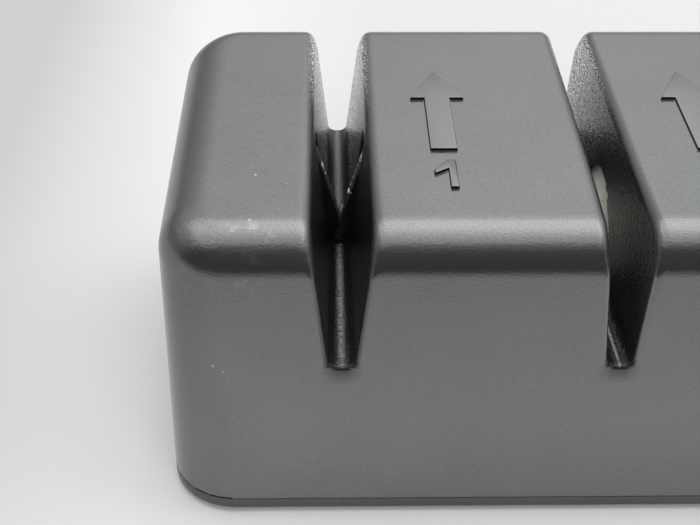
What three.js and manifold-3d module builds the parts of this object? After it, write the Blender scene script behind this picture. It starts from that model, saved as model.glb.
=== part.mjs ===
// Two-stage manual knife sharpener: a hollow moulded housing with two knife slots. Two carbide blades cross
// in a V in the coarse slot, and a pair of bevelled wheels on a steel axle rises into the fine slot.
// Millimetres, +X along the handle, +Z up. The origin is on the resting plane, under the middle of the
// bounding box.

import * as THREE from 'three';
import { mergeVertices } from 'three/addons/utils/BufferGeometryUtils.js';
import Module from 'manifold-3d';

const wasm = await Module();
wasm.setup();

// Overall shape
const overallLength = 190;
const gripTop = 29.6;
const blockHalfDepth = 27.45;
const gripHalfDepth = 20;
const cornerRadius = 8;
const gripEndRadius = 15;
const blockEdgeRadius = 5;
const leftEdgeRadius = 6;
const gripEdgeRadius = 9;
const blendStartFromEnd = 70;
const blendLength = 34;
const faceDraftDegrees = 2.44;
const endDraftDegrees = 0.2;
const wallThickness = 2.2;

// Fits and cutting
const seatGap = 0.3;
const runningClearance = 0.1;
const pressClearance = 0.1;
const screwClearance = 0.3;
const overrun = 2;

// Knife slots: the coarse one narrows towards its floor, the fine one has nearly parallel walls
const firstSlotFromEnd = 19.6;
const slotPitch = 30;
const slotDepth = 16.9;
const slotWallThickness = 1.6;
const slotFloorThickness = 1.8;
const coarseTopHalfWidth = 2.95;
const coarseFloorHalfWidth = 1.15;
const coarseFloorRadius = 0.9;
const coarseLipRadius = 1.4;
const coarseFaceFlare = 0.45;
const fineTopHalfWidth = 2.15;
const fineFloorHalfWidth = 1.6;
const fineFloorRadius = 0.9;
const fineLipRadius = 0.6;
const fineFaceFlare = 0.6;

// Carbide blades of the coarse slot, the pocket that they stand in and the jaws that hold them
const bladeLength = 18;
const bladeWidth = 3.2;
const bladeThickness = 1.1;
const bladeTiltDegrees = 17.2;
const bladeCrossAboveFloor = 3.55;
const bladeEdgeRise = 8.7;
const bladeBevelWidth = 0.4;
const bladeBevelDepth = 0.3;
const pocketAboveBlade = 1.8;
const jawThickness = 2.5;
const clampScrewWall = 0.4;
const clampHeadRadius = 2.4;
const clampHeadThickness = 1.4;
const clampScrewLength = 7;

// Wheels of the fine slot and the window that they rise through
const wheelRadius = 12.4;
const wheelFloorGap = 1.9;
const grooveAboveSlotFloor = 2.65;
const grooveRingThickness = 0.9;
const flankDegrees = 22;
const wheelHalfSplit = 0.15;
const rimBevel = 0.8;
const wheelOuterFace = 6;
const wheelOuterChamfer = 0.4;
const rimWallThickness = 2.1;
const webRecessDepth = 1;
const ringBossThickness = 1.8;
const tongueGap = 0.9;
const windowEdgeBelowRim = 1.4;
const windowRimGap = 0.6;

// Axle line, from the middle outwards
const axleRadius = 1.5;
const hubRadius = 4.3;
const hubProud = 0.2;
const washerRadius = 3.2;
const washerThickness = 0.6;
const bushRadius = 2.6;
const bushFlangeRadius = 3.6;
const bushFlangeThickness = 0.6;
const cheekThickness = 2.2;
const clipRadius = 2.9;
const clipThickness = 0.6;
const axleEndLength = 0.5;

// Cradle that carries the axle; the blades' holder has the same tabs, bosses and screws
const cheekHalfWidth = 5;
const cradleFootGap = 2;
const cradleRailHeight = 4;
const endBarThickness = 2.8;
const tabHalfWidth = 4.2;
const tabThickness = 3;
const cradleBossRadius = 3.4;
const cradleBossWallGap = 0.6;

// Base cover, feet and screws
const footStand = 0.6;
const coverRimThickness = 1.2;
const coverLipThickness = 1.2;
const coverEdgeChamfer = 0.4;
const footRadius = 4.5;
const footThickness = 1.6;
const baseBossRadius = 3.2;
const bossSink = 0.8;
const boreEndGap = 2;
const ribThickness = 2;
const ribBottom = 12;
const screwRadius = 1.5;
const baseHeadRadius = 3;
const baseHeadThickness = 1.2;
const baseHeadRecess = 0.3;
const baseScrewLength = 11;
const cradleHeadRadius = 2.7;
const cradleHeadThickness = 1.6;
const cradleScrewLength = 8.5;
const driveWidth = 0.7;
const driveReach = 1.5;
const driveDepth = 0.6;

// Raised arrow and figure beside each slot
const raisedHeight = 0.5;
const raisedSink = 0.5;
const arrowFromSlot = 11.9;
const arrowTip = 10.95;
const arrowHeadBase = 4.3;
const arrowHeadWidth = 6.3;
const arrowShaftWidth = 3;
const arrowShaftEnd = -7.5;
const figureFromSlot = 12.1;
const figureTop = -10.1;
const figureHeight = 5.9;
const figureWidth = 2.4;
const figureStroke = 0.85;

// How finely round shapes are faceted
const roundSegments = 40;
const smallSegments = 16;
const cornerSteps = 6;
const blendSteps = 12;
const edgeSteps = 5;
const lipSteps = 3;
const weldTolerance = 0.002;

// Values worked out from the ones above
const leftEnd = -overallLength / 2;
const rightEnd = overallLength / 2;
const blendStart = leftEnd + blendStartFromEnd;
const faceDraft = Math.tan(THREE.MathUtils.degToRad(faceDraftDegrees));
const endDraft = Math.tan(THREE.MathUtils.degToRad(endDraftDegrees));
const flankSlope = Math.tan(THREE.MathUtils.degToRad(flankDegrees));
const coverRimTop = footStand + coverRimThickness;
const coverTop = coverRimTop + coverLipThickness;
const housingBottom = coverRimTop + seatGap;
const ringBoreRadius = hubRadius + seatGap;
const grooveRadius = ringBoreRadius + grooveRingThickness;
const axleHeight = coverTop + wheelFloorGap + wheelRadius;
const slotFloorHeight = axleHeight + grooveRadius - grooveAboveSlotFloor;
const blockTop = slotFloorHeight + slotDepth;
const flankCornerRadius = wheelRadius - rimBevel;
const hubHalfLength = wheelOuterFace + hubProud;
const cradleFootHeight = coverTop + cradleFootGap;
const slotBlockBottom = slotFloorHeight - slotFloorThickness;
const bossBottom = coverTop + seatGap;
const railTop = cradleFootHeight + cradleRailHeight;
const tabBottom = railTop - tabThickness;
const cradleBossBottom = railTop + seatGap;
const cradleBossOffset = blockHalfDepth - wallThickness - slotBlockBottom * faceDraft
  - cradleBossRadius - cradleBossWallGap;
const tabHalfReach = cradleBossOffset + cradleBossRadius;
const endBarOuterHalf = cradleBossOffset - cradleHeadRadius - seatGap;
const endBarInnerHalf = endBarOuterHalf - endBarThickness;
const screwBoreRadius = screwRadius + screwClearance;
const washerInner = hubHalfLength + seatGap;
const bushInner = washerInner + washerThickness + seatGap;
const cheekInner = bushInner + bushFlangeThickness + seatGap;
const cheekOuter = cheekInner + cheekThickness;
const clipInner = cheekOuter + seatGap;
const axleHalfLength = clipInner + clipThickness + axleEndLength;

// Blades: each leans outwards from where the two inner edges cross
const bladeTilt = THREE.MathUtils.degToRad(bladeTiltDegrees);
const bladeTop = slotFloorHeight + bladeCrossAboveFloor + bladeEdgeRise;
const bladeTopReach = bladeEdgeRise * Math.tan(bladeTilt);
const bladeBottom = bladeTop - bladeLength * Math.cos(bladeTilt) - bladeWidth * Math.sin(bladeTilt);
const bladeBottomReach = bladeLength * Math.sin(bladeTilt) - bladeTopReach;
const bladeInner = seatGap / 2;
const bladeOuter = bladeInner + bladeThickness;
const pocketHalfWidth = bladeTopReach + bladeWidth * Math.cos(bladeTilt) + seatGap;
const pocketHalfDepth = bladeOuter + seatGap;
const pocketTop = bladeTop + pocketAboveBlade;
const seatHalfWidth = bladeBottomReach + seatGap;
const jawOuter = pocketHalfDepth + jawThickness;
const jawTop = slotBlockBottom - seatGap;
const clampScrewOffset = seatHalfWidth + clampScrewWall + screwBoreRadius;
const clampScrewHeight = railTop + seatGap + clampHeadRadius;
const holderHalfWidth = clampScrewOffset + clampHeadRadius;

// Slots and places along the part
const coarseSlot = {
  x: leftEnd + firstSlotFromEnd,
  topHalfWidth: coarseTopHalfWidth,
  floorHalfWidth: coarseFloorHalfWidth,
  floorRadius: coarseFloorRadius,
  lipRadius: coarseLipRadius,
  faceFlare: coarseFaceFlare,
};
const fineSlot = {
  x: coarseSlot.x + slotPitch,
  topHalfWidth: fineTopHalfWidth,
  floorHalfWidth: fineFloorHalfWidth,
  floorRadius: fineFloorRadius,
  lipRadius: fineLipRadius,
  faceFlare: fineFaceFlare,
};
const slots = [coarseSlot, fineSlot];
const leftScrewX = leftEnd + wallThickness + baseBossRadius - bossSink;
const leftScrewY = endBarInnerHalf - baseBossRadius;
const betweenSlotsX = coarseSlot.x + slotPitch / 2;
const betweenScrewY = blockHalfDepth - wallThickness - baseBossRadius - bossSink;
const innerGripScrewX = blendStart + blendLength - baseBossRadius;
const outerGripScrewX = rightEnd - gripEndRadius;
const footLeftX = leftEnd + cornerRadius + footRadius / 2;
const footLeftY = blockHalfDepth - cornerRadius;
const footRightX = rightEnd - gripEndRadius - footRadius;
const footRightY = gripHalfDepth - footRadius * 2;
const ribShares = [1 / 3, 2 / 3];
const ribPositions = ribShares.map(
  (share) => THREE.MathUtils.lerp(innerGripScrewX, outerGripScrewX, share),
);
const baseScrewPlaces = [
  { name: 'left_front', x: leftScrewX, y: -leftScrewY },
  { name: 'left_back', x: leftScrewX, y: leftScrewY },
  { name: 'middle_front', x: betweenSlotsX, y: -betweenScrewY },
  { name: 'middle_back', x: betweenSlotsX, y: betweenScrewY },
  { name: 'grip_inner', x: innerGripScrewX, y: 0 },
  { name: 'grip_end', x: outerGripScrewX, y: 0 },
];
const footPlaces = [
  { name: 'left_front', x: footLeftX, y: -footLeftY },
  { name: 'left_back', x: footLeftX, y: footLeftY },
  { name: 'right_front', x: footRightX, y: -footRightY },
  { name: 'right_back', x: footRightX, y: footRightY },
];

function material(color, roughness, metalness) {
  return new THREE.MeshStandardMaterial({ color, roughness, metalness });
}

function housingPlastic() {
  return material(0x4a4b4c, 0.55, 0);
}

function coverPlastic() {
  return material(0x3c3d3e, 0.6, 0);
}

function innerPlastic() {
  return material(0x26272a, 0.5, 0);
}

function hubPlastic() {
  return material(0x8d9094, 0.45, 0);
}

function footRubber() {
  return material(0x1c1c1d, 0.9, 0);
}

function steel() {
  return material(0xb4b6b9, 0.3, 1);
}

function bronze() {
  return material(0xa0783c, 0.4, 1);
}

function carbide() {
  return material(0x4a4c50, 0.35, 0.9);
}

function fineCeramic() {
  return material(0xeceae4, 0.35, 0);
}

// A closed geometry becomes a solid that can be cut and joined
function solidFrom(geometry) {
  const bare = geometry.clone();
  bare.deleteAttribute('normal');
  bare.deleteAttribute('uv');
  const merged = mergeVertices(bare);
  const vertProperties = new Float32Array(merged.attributes.position.array);
  const triVerts = new Uint32Array(merged.index.array);
  return new wasm.Manifold(new wasm.Mesh({ numProp: 3, vertProperties, triVerts }));
}

// The cut solid as a geometry again, with corners that lie together welded and empty triangles left out
function geometryFrom(solid) {
  const mesh = solid.getMesh();
  const raw = new THREE.BufferGeometry();
  const positions = new Float32Array(mesh.vertProperties);
  raw.setAttribute('position', new THREE.BufferAttribute(positions, mesh.numProp));
  raw.setIndex(new THREE.BufferAttribute(new Uint32Array(mesh.triVerts), 1));
  const geometry = mergeVertices(raw, weldTolerance);
  const corners = geometry.index.array;
  const kept = [];
  for (let first = 0; first < corners.length; first += 3) {
    const [a, b, c] = corners.slice(first, first + 3);
    if (a !== b && b !== c && c !== a) {
      kept.push(a, b, c);
    }
  }
  geometry.setIndex(kept);
  geometry.computeVertexNormals();
  return geometry;
}

function joined(solids) {
  return solids.reduce((whole, next) => whole.add(next));
}

function box(low, high) {
  const size = high.map((value, axis) => value - low[axis]);
  const middle = high.map((value, axis) => (value + low[axis]) / 2);
  return solidFrom(new THREE.BoxGeometry(...size).translate(...middle));
}

// A round post along Z
function post(radius, bottom, top, x, y) {
  const geometry = new THREE.CylinderGeometry(radius, radius, top - bottom, smallSegments);
  geometry.rotateX(Math.PI / 2);
  return solidFrom(geometry.translate(x, y, (top + bottom) / 2));
}

// A closed profile of [radius, distance along X] turned round the X axis, then moved to its place
function turned(profile, segments, x, z) {
  const points = profile.map(([radius, along]) => new THREE.Vector2(radius, along));
  const geometry = new THREE.LatheGeometry(points, segments);
  geometry.rotateZ(-Math.PI / 2);
  return geometry.translate(x, 0, z);
}

function sleeve(bore, outer, from, to) {
  return [[bore, from], [outer, from], [outer, to], [bore, to], [bore, from]];
}

// The same profile on the other side of the slot's middle plane
function mirrored(profile) {
  return profile.map(([radius, along]) => [radius, -along]).reverse();
}

function smoothShare(x) {
  const share = THREE.MathUtils.clamp((x - blendStart) / blendLength, 0, 1);
  return share * share * (3 - 2 * share);
}

function halfDepthAt(x) {
  return THREE.MathUtils.lerp(blockHalfDepth, gripHalfDepth, smoothShare(x));
}

// One arc of the outline, as points with their outward directions
function outlineArc(centreX, centreY, radius, fromDegrees, toDegrees) {
  const points = [];
  for (let step = 0; step <= cornerSteps; step += 1) {
    const degrees = THREE.MathUtils.lerp(fromDegrees, toDegrees, step / cornerSteps);
    const angle = THREE.MathUtils.degToRad(degrees);
    const outX = Math.cos(angle);
    const outY = Math.sin(angle);
    points.push({ x: centreX + radius * outX, y: centreY + radius * outY, outX, outY });
  }
  return points;
}

// The back half of the outline, from the left end to the right end on the middle plane
function backOutline() {
  const leftArc = outlineArc(leftEnd + cornerRadius, blockHalfDepth - cornerRadius, cornerRadius, 180, 90);
  const rightCentreX = rightEnd - gripEndRadius;
  const rightArc = outlineArc(rightCentreX, gripHalfDepth - gripEndRadius, gripEndRadius, 90, 0);
  const blend = [];
  for (let step = 0; step <= blendSteps; step += 1) {
    const x = blendStart + blendLength * step / blendSteps;
    const reach = blendLength / blendSteps / 2;
    const drop = halfDepthAt(x - reach) - halfDepthAt(x + reach);
    const direction = new THREE.Vector2(drop, reach * 2).normalize();
    blend.push({ x, y: halfDepthAt(x), outX: direction.x, outY: direction.y });
  }
  return [{ x: leftEnd, y: 0, outX: -1, outY: 0 }, ...leftArc, ...blend, ...rightArc,
    { x: rightEnd, y: 0, outX: 1, outY: 0 }];
}

function wholeOutline() {
  const back = backOutline();
  const front = back.slice(1, -1).reverse().map((point) => ({ ...point, y: -point.y, outY: -point.outY }));
  return [...back, ...front];
}

// The outline drawn in by an inset and leaned in by the draft, at a height given for each point
function ringAt(outline, insetAt, heightAt) {
  return outline.map((point) => {
    const height = heightAt(point);
    const draft = point.outX ** 2 * endDraft + point.outY ** 2 * faceDraft;
    const inset = insetAt(point) + height * draft;
    return [point.x - inset * point.outX, point.y - inset * point.outY, height];
  });
}

// Rings of equal length, closed below and above by strips between points that mirror each other
function loft(rings) {
  const count = rings[0].length;
  const positions = rings.flat(2);
  const indices = [];
  for (let level = 0; level < rings.length - 1; level += 1) {
    for (let place = 0; place < count; place += 1) {
      const next = (place + 1) % count;
      const below = level * count;
      const above = below + count;
      indices.push(below + place, above + next, below + next);
      indices.push(below + place, above + place, above + next);
    }
  }
  const top = (rings.length - 1) * count;
  for (let place = 0; place < count / 2; place += 1) {
    const other = (count - place) % count;
    const next = place + 1;
    const otherNext = count - next;
    indices.push(place, next, otherNext);
    indices.push(top + place, top + otherNext, top + next);
    if (other !== place) {
      indices.push(place, otherNext, other);
      indices.push(top + place, top + other, top + otherNext);
    }
  }
  const geometry = new THREE.BufferGeometry();
  geometry.setAttribute('position', new THREE.BufferAttribute(new Float32Array(positions), 3));
  geometry.setIndex(indices);
  return geometry;
}

// The body of the housing, drawn in by an offset: nothing for the outside, the wall for the hollow
function bodyForm(bottom, offset) {
  const outline = wholeOutline();
  const edgeRadiusAt = (point) => {
    const leftShare = Math.max(-point.outX, 0) ** 2;
    const blockRadius = THREE.MathUtils.lerp(blockEdgeRadius, leftEdgeRadius, leftShare);
    return THREE.MathUtils.lerp(blockRadius, gripEdgeRadius, smoothShare(point.x)) - offset;
  };
  const topAt = (point) => THREE.MathUtils.lerp(blockTop, gripTop, smoothShare(point.x)) - offset;
  const rings = [ringAt(outline, () => offset, () => bottom)];
  for (let step = 0; step <= edgeSteps; step += 1) {
    const angle = step / edgeSteps * Math.PI / 2;
    const insetAt = (point) => offset + edgeRadiusAt(point) * (1 - Math.cos(angle));
    const heightAt = (point) => topAt(point) - edgeRadiusAt(point) * (1 - Math.sin(angle));
    rings.push(ringAt(outline, insetAt, heightAt));
  }
  return solidFrom(loft(rings));
}

// Half of a slot's section as [half width, depth] from the middle of the floor up past the top
function slotProfile(slot, flare) {
  const profile = [[0, slotDepth]];
  const floorFlat = slot.floorHalfWidth - slot.floorRadius;
  for (let step = 0; step <= lipSteps; step += 1) {
    const angle = step / lipSteps * Math.PI / 2;
    const across = floorFlat + slot.floorRadius * Math.sin(angle);
    profile.push([across + flare, slotDepth - slot.floorRadius * (1 - Math.cos(angle))]);
  }
  for (let step = 0; step <= lipSteps; step += 1) {
    const angle = step / lipSteps * Math.PI / 2;
    const across = slot.topHalfWidth + slot.lipRadius * (1 - Math.cos(angle));
    profile.push([across + flare, slot.lipRadius * (1 - Math.sin(angle))]);
  }
  profile.push([slot.topHalfWidth + slot.lipRadius + flare, -overrun]);
  return profile;
}

// The slot through the block, a little wider at the front and back faces than in the middle
function slotCutter(slot) {
  const stationShares = [-1, -0.8, -0.5, 0, 0.5, 0.8, 1];
  const reach = blockHalfDepth + overrun;
  const stations = stationShares.map((share) => {
    const half = slotProfile(slot, slot.faceFlare * Math.abs(share) ** 3);
    const right = half.map(([across, depth]) => [slot.x + across, share * reach, blockTop - depth]);
    const left = half.slice(1).reverse()
      .map(([across, depth]) => [slot.x - across, share * reach, blockTop - depth]);
    return [...right, ...left];
  });
  return solidFrom(tunnel(stations));
}

function slotBlockHalfWidth(slot) {
  return slot.topHalfWidth + slot.faceFlare + slotWallThickness;
}

// Stations of equal length joined side by side, with fans over both ends
function tunnel(stations) {
  const count = stations[0].length;
  const positions = stations.flat(2);
  const indices = [];
  for (let station = 0; station < stations.length - 1; station += 1) {
    for (let place = 0; place < count; place += 1) {
      const next = (place + 1) % count;
      const near = station * count;
      const far = near + count;
      indices.push(near + place, far + next, near + next);
      indices.push(near + place, far + place, far + next);
    }
  }
  const farEnd = (stations.length - 1) * count;
  for (let place = 1; place < count - 1; place += 1) {
    indices.push(0, place, place + 1);
    indices.push(farEnd, farEnd + place + 1, farEnd + place);
  }
  const geometry = new THREE.BufferGeometry();
  geometry.setAttribute('position', new THREE.BufferAttribute(new Float32Array(positions), 3));
  geometry.setIndex(indices);
  return geometry;
}

// What the wheels need to turn in: their profile with a gap, which leaves a pointed tongue of slot floor
function windowCutter() {
  const rim = wheelRadius + windowRimGap;
  const side = slotBlockHalfWidth(fineSlot) + overrun;
  const edge = wheelRadius - windowEdgeBelowRim;
  const edgeAlong = wheelHalfSplit + (edge - grooveRadius) * flankSlope - seatGap;
  const half = [[grooveRadius + tongueGap, 0], [edge, edgeAlong], [rim, edgeAlong + rimBevel],
    [rim, side], [0, side]];
  const profile = [...mirrored(half.slice(1)), ...half];
  return solidFrom(turned(profile, roundSegments, fineSlot.x, axleHeight));
}

// The pocket that the blades stand in, drawn out by the wall for the block around it
function pocketBlock(wall, bottom, top) {
  const halfWidth = pocketHalfWidth + wall;
  const halfDepth = pocketHalfDepth + wall;
  return box([coarseSlot.x - halfWidth, -halfDepth, bottom], [coarseSlot.x + halfWidth, halfDepth, top]);
}

function arrowShape(slotX) {
  const middle = slotX + arrowFromSlot;
  const shape = new THREE.Shape();
  shape.moveTo(middle - arrowShaftWidth / 2, arrowShaftEnd);
  shape.lineTo(middle + arrowShaftWidth / 2, arrowShaftEnd);
  shape.lineTo(middle + arrowShaftWidth / 2, arrowHeadBase);
  shape.lineTo(middle + arrowHeadWidth / 2, arrowHeadBase);
  shape.lineTo(middle, arrowTip);
  shape.lineTo(middle - arrowHeadWidth / 2, arrowHeadBase);
  shape.lineTo(middle - arrowShaftWidth / 2, arrowHeadBase);
  return shape;
}

// The figure 1: an upright stroke with a slanted flag
function figureOneShape(slotX) {
  const right = slotX + figureFromSlot + figureStroke;
  const left = right - figureWidth;
  const stem = right - figureStroke;
  const bottom = figureTop - figureHeight;
  const flagDrop = figureWidth - figureStroke / 2;
  const shape = new THREE.Shape();
  shape.moveTo(stem, bottom);
  shape.lineTo(right, bottom);
  shape.lineTo(right, figureTop);
  shape.lineTo(stem, figureTop);
  shape.lineTo(left, figureTop - flagDrop);
  shape.lineTo(left, figureTop - flagDrop - figureStroke);
  shape.lineTo(stem, figureTop - figureStroke * 2);
  return shape;
}

// The figure 2: a round bow, a slanted stroke and a foot
function figureTwoShape(slotX) {
  const radius = (figureWidth + figureStroke) / 2;
  const middle = slotX + figureFromSlot;
  const bowHeight = figureTop - radius;
  const bottom = figureTop - figureHeight;
  const inner = radius - figureStroke;
  const shape = new THREE.Shape();
  shape.moveTo(middle - radius, bottom);
  shape.lineTo(middle + radius, bottom);
  shape.lineTo(middle + radius, bottom + figureStroke);
  shape.lineTo(middle - inner, bottom + figureStroke);
  shape.lineTo(middle + radius * Math.SQRT1_2 + figureStroke / 2, bowHeight - radius * Math.SQRT1_2);
  shape.absarc(middle, bowHeight, radius, -Math.PI / 6, Math.PI, false);
  shape.lineTo(middle - inner, bowHeight);
  shape.absarc(middle, bowHeight, inner, Math.PI, -Math.PI / 6, true);
  shape.lineTo(middle - radius, bottom + figureStroke);
  return shape;
}

function raised(shape) {
  const geometry = new THREE.ExtrudeGeometry(shape, {
    depth: raisedHeight + raisedSink, bevelEnabled: false, curveSegments: cornerSteps,
  });
  return solidFrom(geometry.translate(0, 0, blockTop - raisedSink));
}

// Everything that stays standing inside the hollow: slot walls, screw bosses and ribs
function innerStructure() {
  const reach = blockHalfDepth + overrun;
  const parts = [pocketBlock(slotWallThickness, slotBlockBottom, blockTop)];
  for (const slot of slots) {
    const halfWidth = slotBlockHalfWidth(slot);
    parts.push(box([slot.x - halfWidth, -reach, slotBlockBottom],
      [slot.x + halfWidth, reach, blockTop + overrun]));
    for (const side of [-1, 1]) {
      parts.push(post(cradleBossRadius, cradleBossBottom, blockTop, slot.x, side * cradleBossOffset));
    }
  }
  for (const place of baseScrewPlaces) {
    parts.push(post(baseBossRadius, bossBottom, blockTop, place.x, place.y));
  }
  for (const ribX of ribPositions) {
    parts.push(box([ribX - ribThickness / 2, -reach, ribBottom],
      [ribX + ribThickness / 2, reach, blockTop]));
  }
  return joined(parts);
}

function screwBores() {
  const bores = [];
  const cradleBoreBottom = cradleBossBottom - overrun;
  const cradleBoreTop = tabBottom + cradleScrewLength + boreEndGap;
  const baseBoreTop = bossBottom + baseScrewLength + boreEndGap;
  for (const slot of slots) {
    for (const side of [-1, 1]) {
      bores.push(post(screwBoreRadius, cradleBoreBottom, cradleBoreTop, slot.x, side * cradleBossOffset));
    }
  }
  for (const place of baseScrewPlaces) {
    bores.push(post(screwBoreRadius, bossBottom - overrun, baseBoreTop, place.x, place.y));
  }
  return joined(bores);
}

function housing() {
  const hollow = bodyForm(-overrun, wallThickness).subtract(innerStructure());
  let solid = bodyForm(housingBottom, 0).subtract(hollow);
  for (const slot of slots) {
    solid = solid.subtract(slotCutter(slot));
    solid = solid.add(raised(arrowShape(slot.x)));
  }
  solid = solid.subtract(pocketBlock(0, slotBlockBottom - overrun, pocketTop));
  solid = solid.subtract(windowCutter());
  solid = solid.add(raised(figureOneShape(coarseSlot.x)));
  solid = solid.add(raised(figureTwoShape(fineSlot.x)));
  return geometryFrom(solid.subtract(screwBores()));
}

// A flat plate with the housing's outline, drawn in by an inset at its bottom and at its top
function plate(bottom, top, bottomInset, topInset) {
  const outline = wholeOutline();
  const lower = ringAt(outline, () => bottomInset, () => bottom);
  const upper = ringAt(outline, () => topInset, () => top);
  return solidFrom(loft([lower, upper]));
}

function baseCover() {
  const edgeTop = footStand + coverEdgeChamfer;
  const lipInset = wallThickness + seatGap;
  const outline = wholeOutline();
  const rim = solidFrom(loft([
    ringAt(outline, () => coverEdgeChamfer, () => footStand),
    ringAt(outline, () => 0, () => edgeTop),
    ringAt(outline, () => 0, () => coverRimTop),
  ]));
  let solid = rim.add(plate(edgeTop, coverTop, lipInset, lipInset));
  const cutBottom = footStand - overrun;
  const headCutTop = footStand + baseHeadRecess + baseHeadThickness + seatGap;
  for (const { x, y } of baseScrewPlaces) {
    solid = solid.subtract(post(baseHeadRadius + seatGap, cutBottom, headCutTop, x, y));
    solid = solid.subtract(post(screwBoreRadius, footStand, coverTop + overrun, x, y));
  }
  for (const { x, y } of footPlaces) {
    solid = solid.subtract(post(footRadius + seatGap, cutBottom, footThickness + seatGap, x, y));
  }
  return geometryFrom(solid);
}

function foot(place) {
  return geometryFrom(post(footRadius, 0, footThickness, place.x, place.y));
}

// A pan-head screw that points up from the middle of its head's outer face, with a cross cut in the head
function screwBody(headRadius, headThickness, length) {
  const head = post(headRadius, 0, headThickness, 0, 0);
  const shank = post(screwRadius, headThickness / 2, headThickness + length, 0, 0);
  const half = driveWidth / 2;
  const cutAlongY = box([-half, -driveReach, -overrun], [half, driveReach, driveDepth]);
  const cutAlongX = box([-driveReach, -half, -overrun], [driveReach, half, driveDepth]);
  return head.add(shank).subtract(cutAlongY).subtract(cutAlongX);
}

function baseScrew(place) {
  const body = screwBody(baseHeadRadius, baseHeadThickness, baseScrewLength);
  return geometryFrom(body.translate([place.x, place.y, footStand + baseHeadRecess]));
}

// A screw that holds the tab of a cradle or holder up to its boss
function tabScrew(slotX, side) {
  const body = screwBody(cradleHeadRadius, cradleHeadThickness, cradleScrewLength);
  const headBottom = tabBottom - seatGap - cradleHeadThickness;
  return geometryFrom(body.translate([slotX, side * cradleBossOffset, headBottom]));
}

function tabBores(slotX) {
  const top = railTop + overrun;
  return joined([-1, 1].map((side) => post(screwBoreRadius, 0, top, slotX, side * cradleBossOffset)));
}

// A bar of carbide whose inner edge is ground back on its outer face, leaned outwards and set in place
function blade(side) {
  const shape = new THREE.Shape();
  shape.moveTo(0, -bladeInner);
  shape.lineTo(0, bladeBevelDepth - bladeOuter);
  shape.lineTo(bladeBevelWidth, -bladeOuter);
  shape.lineTo(bladeWidth, -bladeOuter);
  shape.lineTo(bladeWidth, -bladeInner);
  const geometry = new THREE.ExtrudeGeometry(shape, { depth: bladeLength, bevelEnabled: false });
  geometry.translate(0, 0, -bladeLength);
  geometry.rotateY(bladeTilt);
  geometry.translate(bladeTopReach, 0, bladeTop);
  geometry.rotateZ(side < 0 ? Math.PI : 0);
  geometry.translate(coarseSlot.x, 0, 0);
  return geometryFrom(solidFrom(geometry));
}

// The two bores for the clamp screws, right through both jaws
function clampBores() {
  const reach = jawOuter + overrun;
  const bores = [-1, 1].map((side) => post(screwBoreRadius, -reach, reach, 0, 0).rotate([90, 0, 0])
    .translate([coarseSlot.x + side * clampScrewOffset, 0, clampScrewHeight]));
  return joined(bores);
}

// The front jaw with the seat that the blades stand on, on a bar whose ends are screwed up to the housing
function bladeHolder() {
  const middle = coarseSlot.x;
  const bar = box([middle - tabHalfWidth, -tabHalfReach, tabBottom],
    [middle + tabHalfWidth, tabHalfReach, railTop]);
  const jaw = box([middle - holderHalfWidth, -jawOuter, cradleFootHeight],
    [middle + holderHalfWidth, bladeOuter, jawTop]);
  const seat = box([middle - seatHalfWidth, -pocketHalfDepth, bladeBottom - seatGap],
    [middle + seatHalfWidth, bladeOuter + overrun, jawTop + overrun]);
  const solid = bar.add(jaw).subtract(seat).subtract(tabBores(middle)).subtract(clampBores());
  return geometryFrom(solid);
}

// The back jaw, which two level screws draw against the holder
function bladeClamp() {
  const jaw = box([coarseSlot.x - holderHalfWidth, pocketHalfDepth, railTop + seatGap],
    [coarseSlot.x + holderHalfWidth, jawOuter, jawTop]);
  return geometryFrom(jaw.subtract(clampBores()));
}

function clampScrew(side) {
  const body = screwBody(clampHeadRadius, clampHeadThickness, clampScrewLength);
  const headFace = jawOuter + seatGap + clampHeadThickness;
  const place = [coarseSlot.x + side * clampScrewOffset, headFace, clampScrewHeight];
  return geometryFrom(body.rotate([90, 0, 0]).translate(place));
}

// Two cheeks that hold the bushes, tied by end bars whose tabs are screwed up to the housing
function cradle() {
  const slotX = fineSlot.x;
  const parts = [];
  for (const side of [-1, 1]) {
    const cheekFaces = [side * cheekInner, side * cheekOuter].sort((a, b) => a - b);
    const low = slotX + cheekFaces[0];
    const high = slotX + cheekFaces[1];
    parts.push(box([low, -endBarOuterHalf, cradleFootHeight], [high, endBarOuterHalf, railTop]));
    parts.push(box([low, -cheekHalfWidth, cradleFootHeight], [high, cheekHalfWidth, axleHeight]));
    const head = new THREE.CylinderGeometry(cheekHalfWidth, cheekHalfWidth, cheekThickness, smallSegments);
    head.rotateZ(Math.PI / 2);
    parts.push(solidFrom(head.translate((low + high) / 2, 0, axleHeight)));
    const barFaces = [side * endBarInnerHalf, side * endBarOuterHalf].sort((a, b) => a - b);
    parts.push(box([slotX - cheekOuter, barFaces[0], cradleFootHeight],
      [slotX + cheekOuter, barFaces[1], railTop]));
    const tabFaces = [side * endBarInnerHalf, side * tabHalfReach].sort((a, b) => a - b);
    parts.push(box([slotX - tabHalfWidth, tabFaces[0], tabBottom],
      [slotX + tabHalfWidth, tabFaces[1], railTop]));
  }
  const solid = joined(parts).subtract(tabBores(slotX));
  const boreReach = cheekOuter + overrun;
  const bore = [[0, -boreReach], [bushRadius + seatGap, -boreReach], [bushRadius + seatGap, boreReach],
    [0, boreReach]];
  return geometryFrom(solid.subtract(solidFrom(turned(bore, smallSegments, slotX, axleHeight))));
}

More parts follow.
